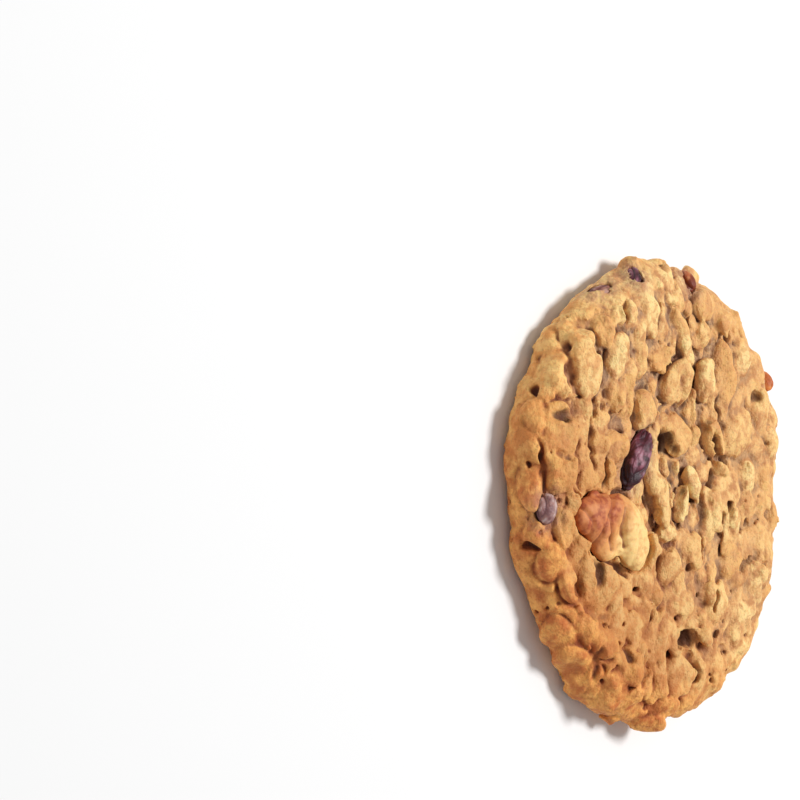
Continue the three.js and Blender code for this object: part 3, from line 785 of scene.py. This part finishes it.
# %% [markdown]
# ## From the block to a mesh
# OpenVDB draws the skin where the numbers change sign. The Decimate modifier then spends the faces
# where the surface bends, and the flat underside, which needs few, gives its share to the face.
# What the paint needs to know about a place is measured in the block and stored on the vertices:
# how hollow it is, finely and broadly, how far out it lies, how much of it is flake and in which
# shade, how deep it was dug and how near the berries' juice is. A bake or a Geometry node could
# measure some of that, but the block already knows all of it.

# %% From a field to a mesh
DOUGH_FACES = 190000


def whole(quads, count):
    """Only the faces that hang together with the largest body; loose crumbs drop off."""
    label = np.arange(count)
    while True:
        earlier = label.copy()
        lowest = label[quads].min(1)
        for corner in quads.T:
            np.minimum.at(label, corner, lowest)
        label = label[label]
        if np.array_equal(label, earlier):
            break
    labels = label[quads[:, 0]]
    return quads[labels == np.bincount(labels).argmax()]


def skin(field, step, low, name):
    """The surface where a field is zero."""
    grid = openvdb.FloatGrid(FAR)
    grid.copyFromArray(field)
    points, _, quads = grid.convertToPolygons(isovalue=0.0, adaptivity=0.0)
    mesh = bpy.data.meshes.new(name)
    mesh.from_pydata(points * step + low, [], whole(quads, len(points)).tolist())
    mesh.validate()
    mesh.update()
    return mesh


def thinned(mesh, faces, name):
    """The mesh with at most so many triangles."""
    rough = bpy.data.objects.new(name + "_rough", mesh)
    bpy.context.collection.objects.link(rough)
    triangles = sum(len(polygon.vertices) - 2 for polygon in mesh.polygons)
    if triangles > faces:
        thin = rough.modifiers.new("thin", "DECIMATE")
        thin.ratio = faces / triangles
    made = bpy.data.meshes.new_from_object(rough.evaluated_get(bpy.context.evaluated_depsgraph_get()))
    bpy.data.objects.remove(rough)
    made.name = name
    return made


dough_mesh = thinned(skin(body, STEP, LOW, "dough_rough"), DOUGH_FACES, "baked_dough")
print("baked dough:", len(dough_mesh.vertices), "vertices,", len(dough_mesh.polygons), "faces")

# %% Notes on the vertices
FINE_REACH, BROAD_REACH = 0.5, 1.6


def vertices(mesh):
    """All vertex places, as rows."""
    flat = np.empty(3 * len(mesh.vertices), np.float32)
    mesh.vertices.foreach_get("co", flat)
    return flat.reshape(-1, 3).astype(float)


def note(mesh, name, values):
    """Stores one number for each vertex, for the paint to read."""
    made = mesh.attributes.new(name, "FLOAT", "POINT")
    made.data.foreach_set("value", np.asarray(values, np.float32))


places = vertices(dough_mesh)
solid = np.clip(0.5 - body / STEP, 0, 1)
around = np.arctan2(places[:, 1], places[:, 0])
notes = {
    "hollow_fine": block.sample(block.soften(solid, FINE_REACH), places) * 2 - 1,
    "hollow_broad": block.sample(block.soften(solid, BROAD_REACH), places) * 2 - 1,
    "out_share": np.hypot(places[:, 0], places[:, 1]) / outline_radius(around),
    "flake_share": block.sample(block.soften(np.clip(0.7 - 2 * flake_field, 0, 1), 0.4), places),
    "flake_tone": block.sample(block.soften(tone, 0.6), places),
    "dug": -block.sample(undug, places),
    "juice": block.sample(juice, places),
}
for name, values in notes.items():
    note(dough_mesh, name, values)
    print(name, np.percentile(values, (2, 25, 50, 75, 98)).round(2))

# %% [markdown]
# ## Paint as arithmetic
# A material is a sum: take one colour, add a little of another where the dough is hollow, darken
# the pits. Drawn as nodes it is a web of links, so a small class lets us write it as Python.
# An expression on two values adds the Math node that works it out.

# %% Values
class Value:
    """A socket that can be added, multiplied and mixed like a number."""

    def __init__(self, finish, socket):
        self.finish, self.socket = finish, socket

    def math(self, operation, first, second):
        return self.finish.node("ShaderNodeMath", {"operation": operation}, {0: first, 1: second})

    def __add__(self, other):
        return self.math("ADD", self, other)

    __radd__ = __add__

    def __sub__(self, other):
        return self.math("SUBTRACT", self, other)

    def __rsub__(self, other):
        return self.math("SUBTRACT", other, self)

    def __mul__(self, other):
        return self.math("MULTIPLY", self, other)

    __rmul__ = __mul__

    def between(self, low, high):
        """0 below low, 1 above high, and a smooth rise between; high may be the lower one."""
        return self.finish.node("ShaderNodeMapRange", {"interpolation_type": "SMOOTHSTEP"},
                                {"Value": self, "From Min": low, "From Max": high})


print("operators:", [name for name in vars(Value) if name.strip("_")[-3:] in ("add", "sub", "mul")])


# %% Finishes
class Finish:
    """A material and the nodes that make it."""

    def __init__(self, name):
        self.material = bpy.data.materials.new(name)
        self.material.use_nodes = True
        self.tree = self.material.node_tree
        self.tree.nodes.clear()

    def node(self, kind, settings=None, sockets=None, output=0):
        """Any node: its settings first, then numbers, colours or links for its sockets."""
        made = self.tree.nodes.new(kind)
        for name, value in (settings or {}).items():
            setattr(made, name, value)
        for key, value in (sockets or {}).items():
            if isinstance(value, Value):
                self.tree.links.new(value.socket, made.inputs[key])
            else:
                made.inputs[key].default_value = value
        return Value(self, made.outputs[output])

    def part(self, vector, axis):
        """One of the three numbers of a vector."""
        return self.node("ShaderNodeSeparateXYZ", None, {0: vector}, axis)

    def noted(self, name):
        """What a note on the vertices says."""
        return self.node("ShaderNodeAttribute", {"attribute_name": name}, output="Fac")

    def place(self, stretch=(1, 1, 1)):
        """Where a point is on the piece, in millimetres."""
        here = self.node("ShaderNodeTexCoord", output="Object")
        scale = tuple(1 / MM / value for value in stretch)
        return self.node("ShaderNodeVectorMath", {"operation": "MULTIPLY"}, {0: here, 1: scale})

    def noise(self, where, length, detail=2.0, roughness=0.5):
        """Soft random spots of about this length, around 0.5."""
        return self.node("ShaderNodeTexNoise", None, {
            "Vector": where, "Scale": 1 / length, "Detail": detail, "Roughness": roughness})

    def mix(self, share, first, second):
        """Colours, mixed by a share of 0 to 1."""
        return self.node("ShaderNodeMix", {"data_type": "RGBA"}, {0: share, 6: first, 7: second}, 2)

    def surface(self, varying, constant, bump_height, bump_depth):
        """The shader: sockets that vary over the surface, those that don't, and the relief."""
        bump = self.node("ShaderNodeBump", None,
                         {"Height": bump_height, "Distance": bump_depth * MM, "Strength": 1.0})
        return self.ended({**constant, **varying, "Normal": bump})

    def ended(self, sockets):
        """Puts the shader and the output at the end of the web."""
        shader = self.node("ShaderNodeBsdfPrincipled", None, sockets)
        end = self.tree.nodes.new("ShaderNodeOutputMaterial")
        self.tree.links.new(shader.socket, end.inputs["Surface"])
        return self.material


def colour(red, green, blue):
    """A colour as seen, 0 to 255, as the linear light that the shader wants."""
    seen = np.array([red, green, blue]) / 255
    linear = np.where(seen <= 0.04045, seen / 12.92, ((seen + 0.055) / 1.055) ** 2.4)
    return (*linear.tolist(), 1.0)


print("a mid grey of 128 is", round(colour(128, 128, 128)[0], 3), "of the light")

# %% [markdown]
# ## The baked dough
# The high spots bake golden; the sunken dough between the flakes stays a pale greyish beige, partly
# darkened as painted shade, and creases and holes go brown, which is painted shade. The rim browns
# most, and one side of the cookie, towards -X and -Y, is orange-brown: partly it had the hotter place
# in the oven, and partly it is painted shade on the side away from the lamp. Near the berries the juice
# greys the dough.
# All of it follows the shape, so the vertex notes lead and noise only breaks them up. A picture
# wrapped round the cookie could give the same colours, but not from every side.

# %% What the dough's paint goes by
# Towards the side that browned more and lies away from the lamp; its orange-brown is partly browning and
# partly painted shade.
BROWNED_AND_SHADED_DIRECTION = (-0.75, -0.7)


class DoughFinish(Finish):
    """A finish with the dough's notes, random spots from large to small, and the two sides."""

    def __init__(self, name):
        super().__init__(name)
        where = self.place()
        self.fine = self.noted("hollow_fine")
        self.broad = self.noted("hollow_broad")
        self.out = self.noted("out_share")
        self.flake = self.noted("flake_share")
        self.tone = self.noted("flake_tone")
        self.cloud = self.noise(where, 7.0, 2.0)
        self.patch = self.noise(where, 2.6, 3.0, 0.6)
        self.grain = self.noise(self.place((1.0, 1.7, 1.0)), 1.0, 3.0, 0.6)
        self.speck = self.noise(where, 0.5, 2.0, 0.6)
        along_x, along_y = self.part(where, 0), self.part(where, 1)
        # The side towards -X and -Y: browned more, and away from the lamp, so partly painted shade.
        self.browned_and_shaded_side = (BROWNED_AND_SHADED_DIRECTION[0] * along_x + BROWNED_AND_SHADED_DIRECTION[1] * along_y) * (1 / MEAN_RADIUS)
        # The +X side, where the lamp is: paler there is painted light.
        self.painted_lit_side = along_x.between(2, 26)


dough_finish = DoughFinish("baked_dough")
print("dough finish with", len(dough_finish.tree.nodes), "nodes to go by")

# %% [markdown]
# ## The face
# Three layers by height: oats on top, each in its own gold, crumb between them, and the valleys
# lowest, greyish beige like half-baked dough, partly darkened as painted shade, and paler towards +X,
# the lamp's side, as painted light. A gradient from low to high would look like a map, so patches and
# grain shift the height a little before it is read.

# %% Colours of the face
def face_colour(dough):
    patch, grain = dough.patch, dough.grain
    hollow = dough.broad + 0.4 * (patch - 0.5) + 0.3 * (grain - 0.5) + 0.12 * (0.5 - dough.flake)
    oat = dough.mix(dough.tone.between(-1.0, 1.0), colour(228, 174, 106), colour(248, 214, 146))
    oat = dough.mix(patch.between(0.48, 0.64) * 0.8, oat, colour(214, 154, 98))
    oat = dough.mix(grain.between(0.47, 0.6) * 0.5, oat, colour(208, 144, 86))
    crumbs = dough.mix(patch.between(0.42, 0.6), colour(222, 168, 108), colour(192, 134, 84))
    crumbs = dough.mix(grain.between(0.5, 0.4) * 0.5, crumbs, colour(234, 186, 124))
    # The valleys: greyish beige, partly the dough's own half-baked colour and partly painted shade.
    valley = dough.mix(dough.cloud.between(0.42, 0.58), colour(164, 130, 100), colour(138, 112, 92))
    valley = dough.mix(grain.between(0.5, 0.4) * 0.6, valley, colour(206, 164, 120))
    # Browner valleys towards -X and -Y: partly browning, partly painted shade.
    valley = dough.mix(dough.browned_and_shaded_side.between(-0.2, 0.6) * 0.85, valley, colour(150, 88, 52))
    # Paler valleys towards +X, the lamp's side: painted light.
    valley = dough.mix(dough.painted_lit_side * 0.6, valley, colour(208, 160, 108))
    face = dough.mix(hollow.between(-0.2, 0.06), oat, crumbs)
    # Partly painted shade: the valley colour goes into the deeper hollows.
    face = dough.mix(hollow.between(0.04, 0.26) * 0.9, face, valley)
    # The whole face goes orange-brown towards -X and -Y: partly browning, partly painted shade.
    return dough.mix(dough.browned_and_shaded_side.between(-0.15, 0.85) * 0.66, face, colour(195, 123, 57))


face = face_colour(dough_finish)
print("face mixed, now", len(dough_finish.tree.nodes), "nodes")

# %% [markdown]
# ## The rim
# The rim meets the tray's heat first. Its bumps are golden, and orange-brown towards -X and -Y, partly
# from browning and partly as painted shade away from the lamp. Its hollows are painted a darker,
# redder brown than the face's, which is painted shade.

# %% Colours of the rim
def rim_colour(dough):
    patch, grain = dough.patch, dough.grain
    top = dough.mix(patch.between(0.36, 0.66), colour(254, 204, 124), colour(240, 166, 88))
    top = dough.mix(grain.between(0.5, 0.6) * 0.4, top, colour(212, 140, 74))
    # Bumps towards -X and -Y: a darker orange, partly browning and partly painted shade.
    browned_and_shaded_top = dough.mix(patch.between(0.36, 0.66), colour(250, 180, 96), colour(198, 108, 52))
    browned_and_shaded_top = dough.mix(grain.between(0.48, 0.6) * 0.4, browned_and_shaded_top, colour(184, 96, 44))
    top = dough.mix(dough.browned_and_shaded_side.between(0.1, 0.8), top, browned_and_shaded_top)
    top = dough.mix(dough.cloud.between(0.46, 0.58) * 0.25, top, colour(204, 128, 66))
    # Painted shade in the rim's hollows: a darker, redder brown, mottled by the grain.
    low = dough.mix(grain.between(0.44, 0.6), colour(138, 62, 26), colour(176, 96, 46))
    hollow = dough.broad + 0.16 * (patch - 0.5) + 0.2 * (grain - 0.5)
    return dough.mix(hollow.between(-0.08, 0.24), top, low)


rim = rim_colour(dough_finish)
print("rim mixed, now", len(dough_finish.tree.nodes), "nodes")

# %% [markdown]
# ## Creases, holes, juice and relief
# Face and rim meet where the rim has browned. Over both comes painted shade in what is narrow and
# hollow: brown in the creases, weaker towards +X where the lamp is, and nearly black in the holes and
# wherever was dug. Then come the juice's stain and the specks of bran. The finest relief is a bump,
# because it is smaller than the mesh's faces.

# %% The finished dough
DOUGH_RELIEF = 0.6


def dough_material(dough, face, rim):
    # The rim's browning reaches further in towards -X and -Y, partly as painted shade.
    browning = (dough.out + 0.2 * (dough.cloud - 0.5) + 0.12 * dough.browned_and_shaded_side).between(0.8, 1.04)
    baked = dough.mix(browning * 0.85, face, rim)
    edge = dough.fine + 0.15 * (dough.speck - 0.5)
    # Painted shade: the brown of the creases, redder towards -X and -Y.
    brown = dough.mix(dough.browned_and_shaded_side.between(-0.1, 0.7), colour(120, 66, 40), colour(130, 56, 24))
    # Painted shade in the creases, weaker on the +X side, where the lamp is.
    creased = dough.mix(edge.between(0.12, 0.42) * (0.66 - 0.26 * dough.painted_lit_side), baked, brown)
    # Painted shade: nearly black in the deepest hollows and pits.
    dark = dough.mix(edge.between(0.38, 0.68) * 0.85, creased, colour(62, 31, 21))
    # Painted shade in holes and creases: the deeper they were dug, the darker.
    dark = dough.mix(dough.noted("dug").between(0.5, 1.6) * 0.8, dark, colour(72, 37, 24))
    stain = dough.noted("juice") * (0.5 * dough.patch + 0.9 * dough.grain).between(0.4, 0.8)
    stained = dough.mix(stain * 0.6, dark, colour(166, 126, 110))
    final = dough.mix(dough.speck.between(0.58, 0.7) * 0.34, stained, colour(150, 92, 50))
    rough = 0.6 + 0.25 * dough.grain
    height = 0.5 * dough.patch + 0.6 * dough.grain + 0.35 * dough.speck
    return dough.surface({"Base Color": final, "Roughness": rough},
                         {"Specular IOR Level": 0.35, "Subsurface Weight": 0.12,
                          "Subsurface Radius": (1.0, 0.5, 0.25), "Subsurface Scale": 1.2 * MM},
                         height, DOUGH_RELIEF)


def finish_piece(mesh, name, material, node):
    """Millimetres become metres, and the piece takes its place in the frame."""
    points = (vertices(mesh) - BOX_MIDDLE) * MM
    mesh.vertices.foreach_set("co", points.ravel().astype(np.float32))
    mesh.materials.clear()
    mesh.materials.append(material)
    mesh.polygons.foreach_set("use_smooth", np.ones(len(mesh.polygons), bool))
    mesh.update()
    piece = bpy.data.objects.new(name, mesh)
    bpy.context.collection.objects.link(piece)
    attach(piece, "root")
    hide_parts(node)
    print("  ", name, "in mm", (points.min(0) / MM).round(2), (points.max(0) / MM).round(2))


finish_piece(dough_mesh, "baked_dough", dough_material(dough_finish, face, rim), "cookie")
print("dough painted")

# %% [markdown]
# ## Dried cranberries
# A dried cranberry is a skin that has shrunk: long folds run from end to end and finer wrinkles
# cross them. We start from an icosphere, press it into the berry's lens and fold it with ridged
# waves, whose sharp valleys look like creased skin.

# %% Berry shapes
LONG_FOLD_COUNT = 5
LONG_FOLD_DEPTH = 0.09
WRINKLE_DEPTHS = (0.4, 0.08)


def waves(points, length, seed, count=18):
    """A smooth random value about -1 to 1, from waves in all directions."""
    random = np.random.default_rng(seed)
    directions = random.normal(size=(count, 3))
    directions /= np.linalg.norm(directions, axis=1)[:, None]
    phases = random.uniform(0, 2 * np.pi, count)
    return np.cos(points @ directions.T * (2 * np.pi / length) + phases).sum(1) / math.sqrt(count)


def ridged(points, length, seed):
    """1 on the ridges and 0 in narrow valleys."""
    return np.clip(np.abs(waves(points, length, seed)) * 1.4, 0, 1)


def icosphere(subdivisions, name):
    """A ball of even triangles, one across the radius."""
    mesh = bpy.data.meshes.new(name)
    shape = bmesh.new()
    bmesh.ops.create_icosphere(shape, subdivisions=subdivisions, radius=1.0)
    shape.to_mesh(mesh)
    shape.free()
    return mesh


def berry_mesh(berry, seed):
    """The berry in its place, with notes of its wrinkles and the way along it."""
    middle, axes, size = berry_place(berry)
    mesh = icosphere(6, berry[0])
    ball = vertices(mesh)
    around = np.arctan2(ball[:, 2], ball[:, 1])
    fold = 1 - LONG_FOLD_DEPTH * (0.5 + 0.5 * np.cos(LONG_FOLD_COUNT * around + 2 * ball[:, 0]))
    local = ball * np.stack([np.ones_like(fold), fold, fold], 1) * size
    broad_wrinkles = ridged(local * (0.3, 1.0, 1.0), 3.0, seed)
    fine_wrinkles = ridged(local * (0.5, 1.0, 1.0), 1.3, seed + 50)
    depth = WRINKLE_DEPTHS[0] * (1 - broad_wrinkles) + WRINKLE_DEPTHS[1] * (1 - fine_wrinkles)
    normal = ball / size
    normal /= np.linalg.norm(normal, axis=1)[:, None]
    local -= normal * depth[:, None] * min(1.0, size[1] / 2.4)
    mesh.vertices.foreach_set("co", (local @ axes.T + middle).ravel().astype(np.float32))
    note(mesh, "broad_wrinkles", broad_wrinkles)
    note(mesh, "fine_wrinkles", fine_wrinkles)
    note(mesh, "lengthwise", ball[:, 0])
    return mesh


meshes = [berry_mesh(berry, 10 + number) for number, berry in enumerate(CRANBERRIES)]
print(len(meshes), "berries of", len(meshes[0].polygons), "faces")

# %% [markdown]
# ## Berry skins
# The skin is a dark, slightly glossy red, painted darker in its folds and at one end as painted shade,
# with a dull bloom on the ridges that also stands for a painted highlight. The whole berry and the
# piece at the top are purple; three pieces at the rim have dried to brown, russet and orange, and the
# one at the left is a greyish lilac. One function makes all five finishes from three colours and a
# share of bloom and highlight, so they differ only in what really differs.

# %% Berry finish
def berry_finish(name, skin_colour, deep_colour, bloom_and_highlight_colour, bloom_and_highlight_share):
    paint = Finish(name)
    where = paint.place()
    fold = paint.noted("broad_wrinkles")
    crease = paint.noted("fine_wrinkles")
    lengthwise = paint.noted("lengthwise")
    cloud = paint.noise(where, 2.2, 2.0)
    # Darker towards one end: painted shade; the cloud's patches are the skin's own.
    base = paint.mix((cloud - 0.15 * lengthwise).between(0.3, 0.68), skin_colour, deep_colour)
    # Darker in the folds: painted shade.
    folded = paint.mix(fold.between(0.5, 0.0) * 0.85, base, deep_colour)
    # Paler streaks on the ridges: partly the skin's bloom, partly painted highlight.
    bloom_and_highlight_streak = (cloud - 0.12 * lengthwise).between(0.56, 0.4) * fold.between(0.5, 0.95)
    bloomed_and_highlit = paint.mix(bloom_and_highlight_streak * crease * bloom_and_highlight_share, folded, bloom_and_highlight_colour)
    grain = paint.noise(where, 0.35, 2.0)
    rough = 0.34 + 0.3 * cloud
    return paint.surface({"Base Color": bloomed_and_highlit, "Roughness": rough},
                         {"Specular IOR Level": 0.4, "Subsurface Weight": 0.1,
                          "Subsurface Radius": (1.0, 0.2, 0.2), "Subsurface Scale": 0.8 * MM},
                         grain, 0.1)


BERRY_LOOKS = {  # skin; folds and the shaded end, painted shade; bloom and painted highlight; and how much of that
    "purple": (colour(116, 52, 66), colour(50, 20, 30), colour(170, 116, 132), 0.7),
    "lilac": (colour(164, 118, 108), colour(118, 78, 80), colour(200, 176, 170), 0.8),
    "brown": (colour(150, 92, 76), colour(92, 46, 44), colour(190, 150, 132), 0.6),
    "russet": (colour(176, 88, 46), colour(118, 48, 26), colour(214, 142, 88), 0.6),
    "orange": (colour(232, 142, 72), colour(186, 98, 46), colour(244, 176, 112), 0.5),
}
BERRY_LOOK_OF = {
    "cranberry_middle": "purple", "cranberry_top": "purple", "cranberry_upper_left": "brown",
    "cranberry_upper_right": "russet", "cranberry_left": "lilac", "cranberry_edge": "orange",
}
berry_finishes = {look: berry_finish("cranberry_" + look, *values)
                  for look, values in BERRY_LOOKS.items()}
for mesh, (node, *_) in zip(meshes, CRANBERRIES):
    finish_piece(mesh, "dried_" + node, berry_finishes[BERRY_LOOK_OF[node]], node)
print(len(berry_finishes), "berry finishes")

# %% [markdown]
# ## The walnut piece
# A broken kernel: rounded lobes that have grown together, with furrows between them, thin rust-brown
# skin on one end and pale flesh on the other. Lobes that flow into each other are easiest in a block
# of their own. Two of them only fill the waist between the CAD's lobes and the corner beside it.

# %% Walnut shape
NUT_FURROWS = [  # lines of places seen from above
    [(-14.2, 0.6), (-15.8, -1.2), (-17.2, -3.6), (-18.4, -6.6), (-18.6, -9.0)],
    [(-17.2, -3.6), (-15.8, -6.4), (-15.2, -9.0)],
    [(-22.4, -2.6), (-20.8, -4.6), (-20.8, -7.0)],
    [(-13.0, -2.4), (-13.6, -5.4), (-12.2, -8.6)],
]
NUT_CORNER = (-13.4, -3.2, 6.0, 5.0, 4.4, -30, 1.9)
NUT_BRIDGE = (-15.4, -5.0, 13.0, 8.4, 4.6, -25, 1.9)
NUT_SINKING = 0.25
FURROW_WIDTH = 0.42
SKIN_EDGE = (-15.4, -5.0, 0.57)  # a place where skin and flesh meet, and the slant of that line
NUT_STEP = 0.2
NUT_FACES = 60000


def walnut_mesh():
    """The nut in its place, with notes of its hollows and of how far the skin is."""
    lobes = [*WALNUT_LOBES[:3], NUT_CORNER, NUT_BRIDGE]
    places = [seat(u, v, turn, rise - thickness / 2 - NUT_SINKING)
              for u, v, _, _, thickness, turn, rise in lobes]
    middles = np.array([middle for middle, _ in places])
    nut = Block(middles.min(0) - 7.5, middles.max(0) + 7.5, NUT_STEP)
    points = np.stack(np.meshgrid(*nut.axes, indexing="ij"), -1)
    field, groove = nut.full(FAR), nut.full(0)
    for (middle, axes), (_, _, length, width, thickness, _, _) in zip(places, lobes):
        distance = lens(points, middle, axes, (length / 2, width / 2, thickness / 2), 2.0)
        field = smooth_min(field, distance.astype(np.float32), 1.8)
    for path in NUT_FURROWS:
        for start, end in zip(path[:-1], path[1:]):
            start, along = np.array(start), np.array(end) - start
            share = np.clip(((points[..., :2] - start) @ along) / (along @ along), 0, 1)
            away = np.linalg.norm(points[..., :2] - start - share[..., None] * along, axis=-1)
            groove = np.maximum(groove, np.exp(-(away / FURROW_WIDTH) ** 2))
    wrinkles = folds(nut, (2.4, 3.4, 2.4), 21) + 0.4 * folds(nut, 1.4, 22)
    field += (0.4 * wrinkles + 0.45 * groove + 0.3 * nut.ripple(3.0, 24)
              + 0.08 * nut.ripple(0.8, 23) + 0.15).astype(np.float32)
    mesh = thinned(skin(field, NUT_STEP, nut.low, "walnut_rough"), NUT_FACES, "walnut_piece")
    here = vertices(mesh)
    solid = np.clip(0.5 - field / NUT_STEP, 0, 1)
    edge_x, edge_y, slant = SKIN_EDGE
    note(mesh, "hollow", nut.sample(nut.soften(solid, 0.5), here) * 2 - 1)
    note(mesh, "skin_side", edge_x + slant * (here[:, 1] - edge_y) - here[:, 0])
    return mesh


nut_mesh = walnut_mesh()
print("walnut of", len(nut_mesh.polygons), "faces")

# %% [markdown]
# ## Nut skin and flesh
# The skin is papery and rust-brown, and lets some tan through at its lower side. The broken flesh is
# ivory, a little toasted on its bumps. Where the two meet the edge is ragged, so noise is added to
# the noted way to the edge before it is read as a mask. The furrows are brown on both.

# %% Walnut finish
def walnut_finish():
    paint = Finish("walnut")
    where = paint.place()
    skin_side = paint.noted("skin_side")
    hollow = paint.noted("hollow")
    cloud = paint.noise(where, 2.2, 3.0)
    veins = paint.noise(where, 1.0, 3.0)
    ragged = skin_side + 5.0 * (cloud - 0.5)
    low_side = paint.part(where, 1).between(-4.5, -8.0)
    flesh = paint.mix(ragged.between(-4.4, -1.2), colour(246, 206, 134), colour(226, 160, 94))
    flesh = paint.mix(veins.between(0.46, 0.66) * 0.45, flesh, colour(204, 136, 78))
    rust = paint.mix(veins.between(0.38, 0.62), colour(200, 116, 66), colour(166, 82, 48))
    skinned = paint.mix(cloud.between(0.46, 0.64) * 0.7, rust, colour(222, 146, 88))
    skinned = paint.mix(low_side * 0.6, skinned, colour(220, 150, 92))
    nut = paint.mix(ragged.between(-1.1, 0.9), flesh, skinned)
    furrowed = paint.mix(hollow.between(0.02, 0.4) * 0.85, nut, colour(132, 64, 36))
    rough = 0.5 + 0.25 * veins
    return paint.surface({"Base Color": furrowed, "Roughness": rough},
                         {"Specular IOR Level": 0.4, "Subsurface Weight": 0.1,
                          "Subsurface Radius": (1.0, 0.5, 0.25), "Subsurface Scale": 1.0 * MM},
                         veins, 0.2)


finish_piece(nut_mesh, "walnut_piece", walnut_finish(), "walnut")
print("walnut painted")

# %% [markdown]
# ## The floor
# The cookie lies on a plain pale sheet, a hair below its underside so that the two faces don't
# flicker through each other.

# %% Floor
FLOOR_SIZE = 3.0
FLOOR_HEIGHT = -0.0001
bpy.ops.mesh.primitive_plane_add(size=FLOOR_SIZE, location=(0, 0, FLOOR_HEIGHT))
floor = bpy.context.object
floor.name = "floor"
floor.data.materials.append(Finish("pale_floor").ended({
    "Base Color": (0.86, 0.86, 0.86, 1), "Roughness": 0.9, "Specular IOR Level": 0.1}))
floor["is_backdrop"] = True
print("floor", FLOOR_SIZE, "m across")

# %% [markdown]
# ## The camera
# The cookie was photographed upright, so the camera looks down on it, 52 degrees off straight above,
# turned so that the longer diameter is upright in the picture. Its distance and lens give the
# cookie its length in the photograph. The cookie isn't in the middle of the picture: a shifted lens
# could bring it to its place, but a camera that is turned a little is simpler to work out.

# %% Camera
TILT = math.radians(52.0)
DISTANCE = 600.0
LENGTH_PX, LENGTH_MM = 475.0, 78.0
PICTURE = 800.0  # the picture's width and height in pixels
COOKIE_AT = np.array([648.75, 494.5])  # the pixel of the cookie's middle
AIM_HEIGHT = 5.0
SENSOR = 36.0

towards = np.array([-math.sin(TILT), 0, math.cos(TILT)])
right = np.array([math.cos(TILT), 0, math.sin(TILT)])
up = np.array([0, 1.0, 0])
focal_px = LENGTH_PX / LENGTH_MM * DISTANCE
eye = np.array([0, 0, AIM_HEIGHT]) + towards * DISTANCE


def turned_camera():
    """The camera's axes, turned so that the cookie's middle falls on its pixel."""
    across, down = COOKIE_AT - PICTURE / 2
    yaw = math.atan2(across, focal_px)
    pitch = math.asin(-down / math.hypot(math.hypot(across, down), focal_px))
    basis = np.stack([right, up, towards], 1)
    return basis @ turned(1, yaw) @ turned(0, -pitch)


def placed(axes, where):
    """A matrix from three axes, as columns, and a place."""
    made = Matrix.Identity(4)
    for row in range(3):
        made[row] = (*axes[row], where[row])
    return made


camera = bpy.data.objects.new("camera", bpy.data.cameras.new("camera"))
bpy.context.collection.objects.link(camera)
camera.data.sensor_width = SENSOR
camera.data.lens = focal_px / PICTURE * SENSOR
camera.data.clip_start = 0.01
camera.matrix_world = placed(turned_camera(), eye * MM)
bpy.context.scene.camera = camera
print("lens", round(camera.data.lens, 1), "mm")

# %% [markdown]
# ## The light
# The cookie is bright on its right side and its left rim lies in shade, so the main light comes
# from the right of the picture, low over the face, where it also brings out the joints between the
# flakes. It is a round lamp 0.3 m across, so the shadows have soft edges, and a pale surround fills
# them. A sun would be simpler but cuts hard shadows, and matt dough needs no picture of a room.

# %% Light
KEY_DIRECTION = 0.9 * right + 0.2 * up + 0.33 * towards
KEY_DISTANCE = 1.0
KEY_SIZE = 0.3
KEY_POWER = 9.0
SURROUND = 0.4
light = bpy.data.lights.new("key", "AREA")
light.shape = "DISK"
light.size = KEY_SIZE
light.energy = KEY_POWER
key = bpy.data.objects.new("key", light)
bpy.context.collection.objects.link(key)
back = KEY_DIRECTION / np.linalg.norm(KEY_DIRECTION)
side = np.cross([0, 0, 1.0], back)
side /= np.linalg.norm(side)
key.matrix_world = placed(np.stack([side, np.cross(back, side), back], 1), back * KEY_DISTANCE)
world = bpy.data.worlds.new("surround")
bpy.context.scene.world = world
world.use_nodes = True
background = world.node_tree.nodes["Background"]
background.inputs["Color"].default_value = (1, 1, 1, 1)
background.inputs["Strength"].default_value = SURROUND
bpy.context.scene.view_settings.view_transform = "Standard"
print("key light of", KEY_POWER, "W and a surround of", SURROUND)

# %% Sizes and the end
visual_box = [list(map(float, corner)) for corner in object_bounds()]
print("visual box in mm", [[round(value / MM, 1) for value in corner] for corner in visual_box])
